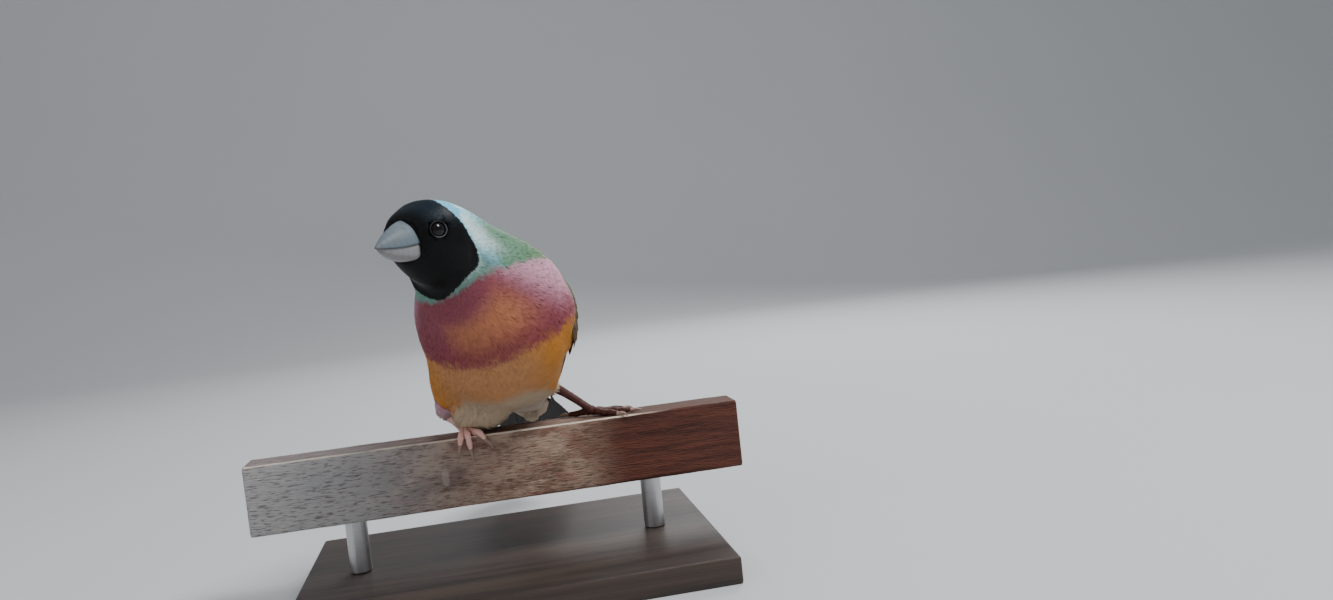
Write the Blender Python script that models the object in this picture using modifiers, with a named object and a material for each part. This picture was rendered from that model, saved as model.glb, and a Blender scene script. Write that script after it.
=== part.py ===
"""A gouldian finch at life size, gripping a cut length of flat bar on a plain display stand.

The bird faces -Y and +Z is up. The origin is the centre of the stand's underside.
Sizes are in millimetres and are turned into metres by MM where a mesh is made.
"""
import math

import bmesh
import bpy
import numpy as np
from mathutils import Matrix, Vector

MM = 0.001

# The gap that touching pieces keep, and the extra room over a faceted neighbour
GAP = 0.3
FACET_ROOM = 0.25

# Stand and perch
BASE_SIZE = (96.0, 70.0, 6.0)
ROD_DIAMETER = 5.0
ROD_LENGTH = 12.0
ROD_SPREAD = 35.0
PERCH_LENGTH = 115.0
PERCH_DEPTH = 10.0
PERCH_HEIGHT = 16.3
EDGE_ROUND = 0.5
PERCH_BOTTOM = BASE_SIZE[2] + GAP + ROD_LENGTH + GAP
PERCH_TOP = PERCH_BOTTOM + PERCH_HEIGHT

# The bird's sizes below are measured from this point of the perch's upper face
BIRD_ORIGIN = np.array([-3.0, 0.0, PERCH_TOP])

# Sections of the body from the middle of the tail to the base of the bill:
# centre x, y, z, yaw and pitch in degrees, half width, height above and depth below
BODY = np.array([
    (14.2, 51.2, -6.0, 8, 22, 6.2, 2.8, 2.4),
    (12.9, 42.3, -2.1, 8, 22, 5.9, 2.8, 2.6),
    (11.4, 33.0, 1.8, 9, 22, 5.6, 2.8, 3.2),
    (10.2, 25.0, 4.9, 11, 24, 7.5, 5.2, 4.8),
    (8.5, 12.5, 11.6, 14, 27, 11.4, 9.7, 9.4),
    (6.9, 1.0, 18.5, 17, 30, 14.8, 13.8, 15.5),
    (5.6, -9.5, 24.6, 20, 32, 17.4, 15.5, 17.2),
    (3.4, -17.5, 30.8, 21, 30, 16.5, 14.8, 15.2),
    (-0.8, -23.0, 37.0, 24, 22, 10.9, 12.0, 12.4),
    (-4.4, -27.2, 41.6, 30, 6, 8.3, 11.2, 11.2),
    (-6.5, -30.0, 44.4, 36, -6, 8.4, 9.6, 9.5),
    (-8.6, -33.0, 45.0, 36, -8, 7.3, 7.8, 7.6),
    (-10.4, -35.4, 45.5, 36, -8, 5.6, 5.9, 5.5),
    (-11.4, -36.7, 45.8, 36, -8, 3.8, 4.1, 4.0),
])
ROUNDNESS_ABOVE = 2.45
ROUNDNESS_BELOW = 1.9

# Places along BODY, counted in its rows, where the named parts meet
TAIL_ROW = 2.0
NECK_ROW = 8.0
HEAD_ROW = 9.3
SKULL_ROW = 10.0
BILL_ROW = 13.0
BODY_SIDES = 32
BODY_STEPS = 23
HEAD_SIDES = 36

# Eyes: ahead of, beside and above the centre of the skull
EYE_PLACE = (4.0, 5.15, 3.5)
EYE_RADIUS = 2.1
EYE_FORWARD_TURN = 24.0
EYE_UPWARD_TURN = 8.0
LID_RADIUS = 1.76
LID_THICKNESS = 0.58
LID_SEAT = 1.72

# Bill, measured from the middle of the head's front face
BILL_LENGTH = 8.3
BILL_HALF_WIDTH = 3.7
UPPER_DEPTH = 4.7
LOWER_DEPTH = 3.1
MOUTH_HEIGHT = -0.7
MOUTH_DROP = -0.95
LOWER_SHARE = 0.94
BILL_PLACES = np.array([0.0, 0.18, 0.36, 0.54, 0.7, 0.84, 0.94, 1.0])
BILL_TAPER = (1.45, 1.7)
BILL_TIP = (0.3, 0.4)
UPPER_ROUNDING = (1.0, 0.9)
LOWER_ROUNDING = (0.6, 0.55)
NOSTRIL_PLACE = (0.9, 1.75, 2.7)
NOSTRIL_RADIUS = 0.42

# Legs: ankles, balls of the feet and the roots of the thighs
ANKLE = {"right": (-8.6, 5.5, 4.7), "left": (18.6, 1.4, 7.2)}
BALL = {"right": (-4.6, -1.6, 1.9), "left": (25.6, 0.2, 1.9)}
THIGH_ROOT = {"right": (-4.0, -4.5, 15.5), "left": (9.5, -1.0, 12.5)}
THIGH_RADII = {"right": (6.6, 5.9, 4.0, 2.5), "left": (5.4, 4.3, 2.6, 1.45)}
ANKLE_RADIUS = {"right": 1.3, "left": 1.05}
TARSUS_RADII = {"right": (1.25, 1.1, 1.05, 1.1), "left": (1.0, 0.85, 0.82, 0.95)}
BALL_RADIUS = 1.3
TOE_RADIUS = 0.92
TOE_TAPER = 0.32
TOE_WAIST = 0.88
KNUCKLE_RISE = 0.35
TOE_ROOM = GAP + 0.1
CLAW_LENGTH = 2.6
CLAW_RADII = (0.42, 0.3, 0.14)
CLAW_LIFTS = (0.67, 0.42, 0.42)

# Toes as reach along the bar, reach across it and joints, the hind toe last
TOES = {
    "right": ((-1.5, -6.2, 4), (0.9, -7.4, 5), (4.5, -5.4, 4), (0.6, 6.4, 3)),
    "left": ((6.0, -4.4, 4), (9.6, -2.2, 5), (8.2, 2.6, 4), (-5.4, 3.2, 3)),
}

# Wings: rows of BODY, and degrees down from the ridge of the back along each edge of the shell
WING_ROWS = (6.5, 3.1)
WING_UPPER_EDGE = ((0.0, 52.0), (0.12, 30.0), (0.4, 15.0), (0.75, 20.0), (1.0, 38.0))
WING_LOWER_EDGE = ((0.0, 72.0), (0.12, 88.0), (0.4, 95.0), (0.75, 90.0), (1.0, 74.0))
WING_THICKNESS = 1.14
WING_REAR_THICKNESS = 0.6

# Feathers are this thick, and raised along the shaft by this share of their half width
VANE_THICKNESS = 0.55
VANE_CAMBER = 0.12
TIP_THICKNESS = 0.35

# Feather outlines: places along the shaft, and shares of the half width there
FLIGHT_OUTLINE = ((0.0, 0.45, 0.85, 1.0), (0.6, 1.0, 0.75, 0.12))
COVERT_OUTLINE = ((0.0, 0.7, 1.0), (0.75, 1.0, 0.2))
TAIL_OUTLINE = ((0.0, 0.35, 0.7, 0.92, 1.0), (0.6, 0.95, 1.0, 0.6, 0.14))
PIN_OUTLINE = ((0.0, 0.3, 0.58, 0.74, 1.0), (0.6, 1.0, 0.95, 0.2, 0.12))
TAIL_COVERT_OUTLINE = ((0.0, 0.45, 0.82, 1.0), (0.7, 1.0, 0.75, 0.2))

# Tiers of wing feathers from the lowest to the topmost: how many, then for the first and the
# last of them the root's row and degrees, the tip's row and degrees, and last the half width
# and the heights of root and tip over the body
WING_TIERS = (
    (7, (4.6, 88.0), (4.3, 72.0), (0.95, 68.0), (2.9, 60.0), 2.5, (1.25, 1.7), (1.0, 1.75)),
    (5, (5.1, 72.0), (5.1, 26.0), (2.95, 54.0), (3.9, 17.0), 3.4, (1.35, 1.35), (1.95, 2.2)),
    (6, (5.8, 90.0), (5.8, 27.0), (4.55, 90.0), (4.8, 21.0), 2.9, (1.1, 1.1), (2.2, 2.5)),
    (5, (6.15, 76.0), (6.2, 42.0), (5.35, 86.0), (5.4, 30.0), 2.9, (1.0, 1.0), (2.35, 2.6)),
)
FLIGHT_TIERS = 2

# Tail: lengths of the feathers from the middle pair outwards
TAIL_LENGTHS = (49.0, 36.5, 35.0, 33.0, 31.0, 28.0)
TAIL_HALF_WIDTH = 2.4
TAIL_FAN = 2.3
TAIL_SPACING = 0.7
TAIL_TOP = 0.75
TAIL_STEP = 0.34
TAIL_LAP = 0.13
TAIL_DROOP = 1.6
TAIL_ROOT_DEPTH = 0.4

# The closed root that the tail's feathers stand in: place along it, half width and half height
TAIL_CORE_LENGTH = 9.0
TAIL_CORE_DROP = 0.2
TAIL_CORE = np.array([(0.0, 5.0, 2.5), (0.35, 4.8, 2.1), (0.7, 3.9, 1.5), (1.0, 2.0, 0.7)])

# Tail coverts, four above and four below
COVERT_COUNT = 4
COVERT_LENGTH = 15.0
COVERT_STEP = 2.5
COVERT_HALF_WIDTH = 2.3
COVERT_SPACING = 1.9
COVERT_FAN = 3.0
COVERT_HEIGHTS = {1: 1.5, -1: -1.9}
COVERT_DROOP = 0.9

COLOURS = {
    "mask": (0.012, 0.012, 0.014),
    "blue": (0.33, 0.56, 0.62),
    "purple": (0.30, 0.13, 0.27),
    "green": (0.16, 0.30, 0.06),
    "yellow": (0.62, 0.36, 0.06),
    "black": (0.02, 0.018, 0.018),
    "bill": (0.42, 0.42, 0.42),
    "eye": (0.01, 0.008, 0.006),
    "leg": (0.50, 0.27, 0.22),
    "wood": (0.24, 0.16, 0.11),
    "stand": (0.10, 0.10, 0.11),
    "metal": (0.55, 0.55, 0.56),
}


def clear_scene():
    """Remove whatever the file starts with."""
    for thing in list(bpy.data.objects):
        bpy.data.objects.remove(thing, do_unlink=True)


def finish_of(name, roughness=0.6, metallic=0.0):
    """A plain material in the named colour."""
    made = bpy.data.materials.get(name)
    if made is None:
        made = bpy.data.materials.new(name)
        made.use_nodes = True
        shader = made.node_tree.nodes["Principled BSDF"]
        shader.inputs["Base Color"].default_value = (*COLOURS[name], 1.0)
        shader.inputs["Roughness"].default_value = roughness
        shader.inputs["Metallic"].default_value = metallic
    return made


def group(name):
    """The named collection, made when it is first asked for."""
    found = bpy.data.collections.get(name)
    if found is None:
        found = bpy.data.collections.new(name)
        bpy.context.scene.collection.children.link(found)
    return found


def settle(thing, name, finish):
    """Name an object, give it its material and keep it in the finch's collection only."""
    thing.name = name
    thing.data.name = name
    thing.data.materials.clear()
    thing.data.materials.append(finish)
    for holder in list(thing.users_collection):
        holder.objects.unlink(thing)
    group("gouldian_finch").objects.link(thing)
    return thing


def mesh_object(name, points, faces):
    """A mesh object from points in millimetres, with its faces turned outwards."""
    data = bpy.data.meshes.new(name)
    data.from_pydata((np.asarray(points) * MM).tolist(), [], faces)
    shape = bmesh.new()
    shape.from_mesh(data)
    bmesh.ops.recalc_face_normals(shape, faces=shape.faces)
    shape.to_mesh(data)
    shape.free()
    thing = bpy.data.objects.new(name, data)
    bpy.context.scene.collection.objects.link(thing)
    return thing


def apply_modifiers(thing):
    """Give an object the mesh that its modifiers make, and drop them."""
    graph = bpy.context.evaluated_depsgraph_get()
    data = bpy.data.meshes.new_from_object(thing.evaluated_get(graph))
    thing.modifiers.clear()
    thing.data = data
    return thing


def keep_largest(thing):
    """Keep only the largest closed surface of an object."""
    shape = bmesh.new()
    shape.from_mesh(thing.data)
    left = set(shape.faces)
    islands = []
    while left:
        start = left.pop()
        island, edge = [start], [start]
        while edge:
            face = edge.pop()
            near = {other for line in face.edges for other in line.link_faces} & left
            left -= near
            island.extend(near)
            edge.extend(near)
        islands.append(island)
    islands.sort(key=lambda island: sum(face.calc_area() for face in island))
    spare = [face for island in islands[:-1] for face in island]
    bmesh.ops.delete(shape, geom=spare, context="FACES")
    bmesh.ops.delete(shape, geom=[point for point in shape.verts if not point.link_faces], context="VERTS")
    shape.to_mesh(thing.data)
    shape.free()
    return thing


def combine(thing, others, operation, solver="EXACT"):
    """Join a list of closed objects to one, or cut them from it, and remove them."""
    tools = bpy.data.collections.new("tools")
    bpy.context.scene.collection.children.link(tools)
    for other in others:
        tools.objects.link(other)
    step = thing.modifiers.new(operation, "BOOLEAN")
    step.operation = operation
    step.operand_type = "COLLECTION"
    step.collection = tools
    step.solver = solver
    apply_modifiers(thing)
    for other in others:
        bpy.data.objects.remove(other, do_unlink=True)
    bpy.data.collections.remove(tools)
    return keep_largest(thing)


def eased(table, at):
    """Rows between a table's rows, on the smooth curve through them."""
    slopes = np.gradient(table, axis=0)
    low = np.clip(np.floor(at).astype(int), 0, len(table) - 2)
    t = (np.asarray(at) - low)[..., None]
    start = (1 + 2 * t) * (1 - t) ** 2 * table[low] + t * (1 - t) ** 2 * slopes[low]
    end = t * t * (3 - 2 * t) * table[low + 1] + t * t * (t - 1) * slopes[low + 1]
    return start + end


def body_frame(at):
    """Centre, forward, left and up at a place along the body, and its three half sizes."""
    row = eased(BODY, at)
    yaw, pitch = np.radians(row[..., 3]), np.radians(row[..., 4])
    level = np.zeros_like(yaw)
    forward = np.stack([-np.sin(yaw) * np.cos(pitch), -np.cos(yaw) * np.cos(pitch), np.sin(pitch)], -1)
    left = np.stack([np.cos(yaw), -np.sin(yaw), level], -1)
    up = np.stack([np.sin(yaw) * np.sin(pitch), np.cos(yaw) * np.sin(pitch), np.cos(pitch)], -1)
    return row[..., :3] + BIRD_ORIGIN, forward, left, up, row[..., 5:8]


def body_point(at, turn, lift=0.0):
    """A point of the body's skin, turn radians from the ridge of the back towards its left.

    Each section is two halves of a superellipse, one above the centre and one below it.
    """
    at, turn, lift = np.broadcast_arrays(at, turn, lift)
    centre, _, left, up, sizes = body_frame(at)
    high = np.cos(turn) > 0
    power = 2 / np.where(high, ROUNDNESS_ABOVE, ROUNDNESS_BELOW)
    across = np.sign(np.sin(turn)) * np.abs(np.sin(turn)) ** power
    upward = np.sign(np.cos(turn)) * np.abs(np.cos(turn)) ** power
    tall = np.where(high, sizes[..., 1], sizes[..., 2])
    return (centre + left * ((sizes[..., 0] + lift) * across)[..., None]
            + up * ((tall + lift) * upward)[..., None])


def loft(name, rings, twin_faces=False):
    """A closed body through rings with as many points each, its two ends closed by fans.

    On a thin body the second half of each ring is split along the same lines as the first.
    """
    rings = np.asarray(rings)
    count, sides = rings.shape[:2]
    points = np.concatenate([rings.reshape(-1, 3), [rings[0].mean(0), rings[-1].mean(0)]])
    faces = []
    for ring in range(count - 1):
        for side in range(sides):
            a, b = ring * sides + side, ring * sides + (side + 1) % sides
            if twin_faces and side >= sides // 2:
                faces.append((a, b, a + sides))
                faces.append((b, b + sides, a + sides))
            else:
                faces.append((a, b, b + sides))
                faces.append((a, b + sides, a + sides))
    for side in range(sides):
        after = (side + 1) % sides
        last = (count - 1) * sides
        faces.append((after, side, count * sides))
        faces.append((last + side, last + after, count * sides + 1))
    return mesh_object(name, points, faces)


def body_length(name, start, end, steps, sides, lift=0.0):
    """A length of the body between two flat cuts, each held back by half the gap."""
    rows = np.linspace(start, end, steps)[:, None]
    turns = np.linspace(0, 2 * np.pi, sides, endpoint=False)[None, :]
    rings = body_point(rows, turns, lift)
    rings[0] += body_frame(np.array(start))[1] * GAP / 2
    rings[-1] -= body_frame(np.array(end))[1] * GAP / 2
    return loft(name, rings)


def ball(place, radius, sides=16):
    """A sphere from its primitive, at a place in millimetres."""
    bpy.ops.mesh.primitive_uv_sphere_add(segments=sides, ring_count=sides // 2, radius=radius * MM,
                                         location=Vector(place) * MM)
    thing = bpy.context.object
    thing.data.transform(thing.matrix_world)
    thing.matrix_world = Matrix()
    return thing


def tube(name, points, radii, sides_step=2):
    """A tapered tube from a curve with a bevel, made a mesh with its caps welded."""
    data = bpy.data.curves.new(name, "CURVE")
    data.dimensions = "3D"
    data.bevel_depth = MM
    data.bevel_resolution = sides_step
    data.use_fill_caps = True
    line = data.splines.new("POLY")
    line.points.add(len(points) - 1)
    for knot, place, radius in zip(line.points, points, radii):
        knot.co = (*(Vector(place) * MM), 1.0)
        knot.radius = radius
    curve = bpy.data.objects.new(name, data)
    bpy.context.scene.collection.objects.link(curve)
    graph = bpy.context.evaluated_depsgraph_get()
    made = bpy.data.meshes.new_from_object(curve.evaluated_get(graph))
    bpy.data.objects.remove(curve, do_unlink=True)
    shape = bmesh.new()
    shape.from_mesh(made)
    bmesh.ops.remove_doubles(shape, verts=shape.verts, dist=0.001 * MM)
    bmesh.ops.recalc_face_normals(shape, faces=shape.faces)
    shape.to_mesh(made)
    shape.free()
    thing = bpy.data.objects.new(name, made)
    bpy.context.scene.collection.objects.link(thing)
    return thing


def box(name, size, centre, finish):
    """A block with rounded edges."""
    bpy.ops.mesh.primitive_cube_add(size=1, location=Vector(centre) * MM)
    thing = bpy.context.object
    thing.data.transform(Matrix.Diagonal((*(Vector(size) * MM), 1.0)))
    edges = thing.modifiers.new("edges", "BEVEL")
    edges.width = EDGE_ROUND * MM
    edges.segments = 2
    return settle(thing, name, finish)


def make_stand():
    """The flat base, the two rods and the perch that they carry."""
    box("stand_base", BASE_SIZE, (0, 0, BASE_SIZE[2] / 2), finish_of("stand", 0.5))
    middle = BASE_SIZE[2] + GAP + ROD_LENGTH / 2
    for side, name in ((-1, "stand_rod_right"), (1, "stand_rod_left")):
        bpy.ops.mesh.primitive_cylinder_add(vertices=24, radius=ROD_DIAMETER / 2 * MM, depth=ROD_LENGTH * MM,
                                            location=Vector((side * ROD_SPREAD, 0, middle)) * MM)
        settle(bpy.context.object, name, finish_of("metal", 0.3, 1.0))
    box("perch", (PERCH_LENGTH, PERCH_DEPTH, PERCH_HEIGHT), (0, 0, PERCH_TOP - PERCH_HEIGHT / 2),
        finish_of("wood", 0.8))


def skull_axes():
    """The head's centre and its forward, left and up directions."""
    centre, forward, left, up, _ = body_frame(np.array(SKULL_ROW))
    return centre, forward, left, up


def eye_axis(side):
    """Where an eyeball's centre is and which way it looks; side is 1 for the left."""
    centre, forward, left, up = skull_axes()
    place = centre + forward * EYE_PLACE[0] + left * side * EYE_PLACE[1] + up * EYE_PLACE[2]
    ahead, high = math.radians(EYE_FORWARD_TURN), math.radians(EYE_UPWARD_TURN)
    look = forward * math.sin(ahead) + left * side * math.cos(ahead) + up * math.sin(high)
    return place, look / np.linalg.norm(look)


def lid(side):
    """The rim of skin round an eye."""
    place, look = eye_axis(side)
    spin = Vector(look).to_track_quat("Z", "Y").to_matrix().to_4x4()
    bpy.ops.mesh.primitive_torus_add(major_segments=18, minor_segments=6, major_radius=LID_RADIUS * MM,
                                     minor_radius=LID_THICKNESS / 2 * MM)
    thing = bpy.context.object
    thing.data.transform(Matrix.Translation(Vector(place + look * LID_SEAT) * MM) @ spin)
    return thing


def make_head():
    """The skull with its lids and eye sockets, and the two eyeballs."""
    head = body_length("head", HEAD_ROW, BILL_ROW, 15, HEAD_SIDES)
    combine(head, [lid(1), lid(-1)], "UNION")
    sockets = [ball(eye_axis(side)[0], EYE_RADIUS + GAP, 16) for side in (1, -1)]
    combine(head, sockets, "DIFFERENCE")
    settle(head, "head", finish_of("mask", 0.5))
    for side, name in ((1, "eye_left"), (-1, "eye_right")):
        settle(ball(eye_axis(side)[0], EYE_RADIUS), name, finish_of("eye", 0.1))


def bill_half(name, length, half_width, depth, upward, rounding):
    """One half of the bill: arched sections on a flat mouth line that drops towards the tip.

    The less the two powers in rounding are, the squarer are the sections.
    """
    centre, forward, left, up, _ = body_frame(np.array(BILL_ROW))
    t = BILL_PLACES
    wide = half_width * (1 - t ** BILL_TAPER[0]) + BILL_TIP[0] * t
    tall = depth * (1 - t ** BILL_TAPER[1]) + BILL_TIP[1] * t
    arch = np.linspace(0, np.pi, 13)
    mouth = MOUTH_HEIGHT - MOUTH_DROP * t ** 2 + upward * GAP / 2
    spread = np.sign(np.cos(arch)) * np.abs(np.cos(arch)) ** rounding[0]
    across = wide[:, None] * np.concatenate([spread, (-0.5, 0.0, 0.5)])
    height = tall[:, None] * np.concatenate([np.sin(arch) ** rounding[1], (0.0, 0.0, 0.0)])
    rings = (centre + forward * (GAP / 2 + t * length)[:, None, None] + left * across[..., None]
             + up * (mouth[:, None] + upward * height)[..., None])
    return loft(name, rings)


def make_bill():
    """The upper half with its nostrils, and the lower half a little shorter."""
    upper = bill_half("bill_upper", BILL_LENGTH, BILL_HALF_WIDTH, UPPER_DEPTH, 1, UPPER_ROUNDING)
    centre, forward, left, up, _ = body_frame(np.array(BILL_ROW))
    pits = []
    for side in (1, -1):
        ahead, beside, above = NOSTRIL_PLACE
        pits.append(ball(centre + forward * ahead + left * side * beside + up * above, NOSTRIL_RADIUS, 10))
    combine(upper, pits, "DIFFERENCE")
    settle(upper, "bill_upper", finish_of("bill", 0.35))
    lower = bill_half("bill_lower", BILL_LENGTH * LOWER_SHARE, BILL_HALF_WIDTH * LOWER_SHARE,
                      LOWER_DEPTH, -1, LOWER_ROUNDING)
    settle(lower, "bill_lower", finish_of("bill", 0.35))


def make_trunk():
    """The torso and the neck."""
    torso = body_length("torso", TAIL_ROW, NECK_ROW, BODY_STEPS, BODY_SIDES)
    settle(torso, "torso", finish_of("purple"))
    neck = body_length("neck", NECK_ROW, HEAD_ROW, 7, BODY_SIDES)
    settle(neck, "neck", finish_of("blue"))


def unit(vector):
    """A vector's direction."""
    return vector / np.linalg.norm(vector)


def round_ring(centre, axis, radius, sides):
    """A ring of points round an axis."""
    side = unit(np.cross(axis, (0.0, 0.0, 1.0)))
    up = np.cross(side, axis)
    turns = np.linspace(0, 2 * np.pi, sides, endpoint=False)[:, None]
    return centre + radius * (side * np.cos(turns) + up * np.sin(turns))


def shank(side, room=0.0):
    """The tapered shank with its ankle knob, from the ankle to just above the foot."""
    ankle = np.array(ANKLE[side]) + BIRD_ORIGIN
    foot = np.array(BALL[side]) + BIRD_ORIGIN
    end = foot - unit(foot - ankle) * (BALL_RADIUS + GAP)
    radii = TARSUS_RADII[side]
    last = len(radii) - 1
    points = [ankle + (end - ankle) * i / last for i in range(last + 1)]
    leg = tube("leg", points, [radius + room for radius in radii])
    return combine(leg, [ball(ankle, ANKLE_RADIUS[side] + room, 12)], "UNION")


def make_leg(side):
    """The shank, and the feathered thigh that is cut to it and to the belly."""
    root = np.array(THIGH_ROOT[side]) + BIRD_ORIGIN
    ankle = np.array(ANKLE[side]) + BIRD_ORIGIN
    axis = unit(ankle - root)
    radii = THIGH_RADII[side]
    rings = [round_ring(root + (ankle - root) * i / (len(radii) - 1), axis, radius, 20)
             for i, radius in enumerate(radii)]
    thigh = loft("thigh", rings)
    belly = body_length("belly", TAIL_ROW, NECK_ROW, BODY_STEPS, BODY_SIDES, GAP)
    combine(thigh, [belly], "DIFFERENCE")
    combine(thigh, [shank(side, GAP)], "DIFFERENCE")
    settle(thigh, "thigh_" + side, finish_of("yellow"))
    settle(shank(side), "leg_" + side, finish_of("leg", 0.5))


def over_perch(along, across, lift):
    """A place a lift above the bar; across runs over its top, round an edge and down a face."""
    half = PERCH_DEPTH / 2
    past = abs(across) - half
    side = math.copysign(1.0, across)
    if past <= 0:
        return BIRD_ORIGIN + (along, across, lift)
    bend = min(past / lift, math.pi / 2)
    drop = max(past - lift * math.pi / 2, 0.0)
    return BIRD_ORIGIN + (along, side * (half + lift * math.sin(bend)), lift * math.cos(bend) - drop)


def toe(start, reach_along, reach_across, joints):
    """A toe with its knuckles and claw, from the ball of the foot over the bar."""
    steps = joints * 2 + 1
    length = math.hypot(reach_along, reach_across)
    points, radii = [np.array(start) + BIRD_ORIGIN], [TOE_RADIUS]
    for i in range(1, steps + 1):
        t = i / steps
        knuckle = i % 2
        radius = TOE_RADIUS * (1 - TOE_TAPER * t) * (1.0 if knuckle else TOE_WAIST)
        lift = radius + TOE_ROOM + KNUCKLE_RISE * knuckle * (1 - t)
        points.append(over_perch(start[0] + reach_along * t, start[1] + reach_across * t, lift))
        radii.append(radius)
    for i, (radius, lift) in enumerate(zip(CLAW_RADII, CLAW_LIFTS), start=1):
        t = 1 + i / len(CLAW_RADII) * CLAW_LENGTH / length
        points.append(over_perch(start[0] + reach_along * t, start[1] + reach_across * t, TOE_ROOM + lift))
        radii.append(radius)
    return tube("toe", points, radii, 1)


def make_foot(side):
    """The four toes fused at the ball of the foot."""
    place = BALL[side]
    pad = ball(np.array(place) + BIRD_ORIGIN, BALL_RADIUS, 12)
    combine(pad, [toe(place, *sizes) for sizes in TOES[side]], "UNION")
    settle(pad, "foot_" + side, finish_of("leg", 0.5))


def between(table, at):
    """A smooth reading of a short table of (place, value) pairs."""
    places, values = np.array(table).T
    slopes = np.gradient(values, places)
    low = np.clip(np.searchsorted(places, at, side="right") - 1, 0, len(places) - 2)
    width = places[low + 1] - places[low]
    t = np.clip((at - places[low]) / width, 0, 1)
    return ((1 + 2 * t) * (1 - t) ** 2 * values[low] + t * (1 - t) ** 2 * width * slopes[low]
            + t * t * (3 - 2 * t) * values[low + 1] + t * t * (t - 1) * width * slopes[low + 1])


def wing_shell(side):
    """The wing's thin body on the flank, between its two edges."""
    a = np.linspace(0, 1, 10)[:, None]
    b = np.linspace(0, 1, 8)[None, :]
    rows = WING_ROWS[0] + (WING_ROWS[1] - WING_ROWS[0]) * a
    upper, lower = between(WING_UPPER_EDGE, a), between(WING_LOWER_EDGE, a)
    turns = np.radians(upper + (lower - upper) * b) * side
    middle = WING_THICKNESS + (WING_REAR_THICKNESS - WING_THICKNESS) * a
    thick = middle * (0.5 + 0.5 * np.sin(np.pi * b) ** 0.5)
    inner = body_point(rows, turns, GAP + FACET_ROOM)
    outer = body_point(rows, turns, GAP + FACET_ROOM + thick)
    return loft("wing", np.concatenate([inner, outer[:, ::-1]], axis=1), twin_faces=True)


def vane(spine, outward, half_width, shares):
    """A feather: sections of six points across its shaft, raised in the middle."""
    half_widths = half_width * np.array(shares)
    thicknesses = np.full(len(shares), VANE_THICKNESS)
    thicknesses[-1] = TIP_THICKNESS
    along = np.gradient(spine, axis=0)
    side = np.cross(along, outward)
    side /= np.linalg.norm(side, axis=1, keepdims=True)
    normal = np.cross(side, along)
    normal /= np.linalg.norm(normal, axis=1, keepdims=True)
    wide = side * half_widths[:, None]
    crown = normal * VANE_CAMBER * half_widths[:, None]
    half = normal * thicknesses[:, None] / 2
    top = [spine - wide + half, spine + crown + half, spine + wide + half]
    under = [spine + wide - half, spine + crown - half, spine - wide - half]
    return loft("vane", np.stack(top + under, axis=1), twin_faces=True)


def wing_vanes(side):
    """Every feather of a folded wing, tier by tier."""
    made = []
    for tier, (count, root_a, root_b, tip_a, tip_b, half_width, lifts_a, lifts_b) in enumerate(WING_TIERS):
        places, shares = FLIGHT_OUTLINE if tier < FLIGHT_TIERS else COVERT_OUTLINE
        places = np.array(places)
        for i in range(count):
            share = i / (count - 1)
            root = np.array(root_a) + (np.array(root_b) - root_a) * share
            tip = np.array(tip_a) + (np.array(tip_b) - tip_a) * share
            low = lifts_a[0] + (lifts_a[1] - lifts_a[0]) * share
            high = lifts_b[0] + (lifts_b[1] - lifts_b[0]) * share
            rows = root[0] + (tip[0] - root[0]) * places
            turns = np.radians(root[1] + (tip[1] - root[1]) * places) * side
            lifts = low + (high - low) * places
            spine = body_point(rows, turns, lifts)
            outward = body_point(rows, turns, lifts + 1.0) - spine
            made.append(vane(spine, outward, half_width, shares))
    return made


def make_wings():
    """The two folded wings."""
    for side, name in ((1, "wing_left"), (-1, "wing_right")):
        wing = combine(wing_shell(side), wing_vanes(side), "UNION")
        settle(wing, name, finish_of("green"))


def tail_vane(start, turn, height, length, half_width, outline, droop):
    """A feather of the tail: where its root is beside and above the middle, and its fan angle."""
    centre, forward, left, up, _ = body_frame(np.array(TAIL_ROW))
    away = -forward * math.cos(math.radians(turn)) + left * math.sin(math.radians(turn))
    places = np.array(outline[0])[:, None]
    root = centre - forward * (GAP / 2 + TAIL_ROOT_DEPTH) + left * start + up * height
    spine = root + away * places * length - up * droop * places ** 2
    return vane(spine, np.broadcast_to(up, spine.shape), half_width, outline[1])


def make_tail():
    """The folded tail: twelve feathers in steps below the middle pair, with coverts at the root."""
    centre, forward, left, up, _ = body_frame(np.array(TAIL_ROW))
    t, wide, tall = TAIL_CORE.T
    turns = np.linspace(0, 2 * np.pi, 20, endpoint=False)
    middle = centre - forward * (GAP / 2 + t * TAIL_CORE_LENGTH)[:, None] - up * TAIL_CORE_DROP
    core = loft("tail", middle[:, None] + left * (wide[:, None] * np.sin(turns))[..., None]
                + up * (tall[:, None] * np.cos(turns))[..., None])
    made = []
    for pair, length in enumerate(TAIL_LENGTHS):
        step = pair + 0.5
        for side in (1, -1):
            height = TAIL_TOP - TAIL_STEP * pair + TAIL_LAP * side
            made.append(tail_vane(side * TAIL_SPACING * step, side * TAIL_FAN * step, height, length,
                                  TAIL_HALF_WIDTH, PIN_OUTLINE if pair == 0 else TAIL_OUTLINE, TAIL_DROOP))
    for above, height in COVERT_HEIGHTS.items():
        for i in range(COVERT_COUNT):
            step = i - (COVERT_COUNT - 1) / 2
            made.append(tail_vane(step * COVERT_SPACING, step * COVERT_FAN, height + TAIL_LAP * i,
                                  COVERT_LENGTH - abs(step) * COVERT_STEP, COVERT_HALF_WIDTH,
                                  TAIL_COVERT_OUTLINE, COVERT_DROOP * above))
    settle(combine(core, made, "UNION"), "tail", finish_of("black"))


def main():
    """Make the stand, the perch and the bird on it."""
    clear_scene()
    make_stand()
    make_trunk()
    make_head()
    make_bill()
    make_wings()
    make_tail()
    for side in ("right", "left"):
        make_leg(side)
        make_foot(side)


main()
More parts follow.
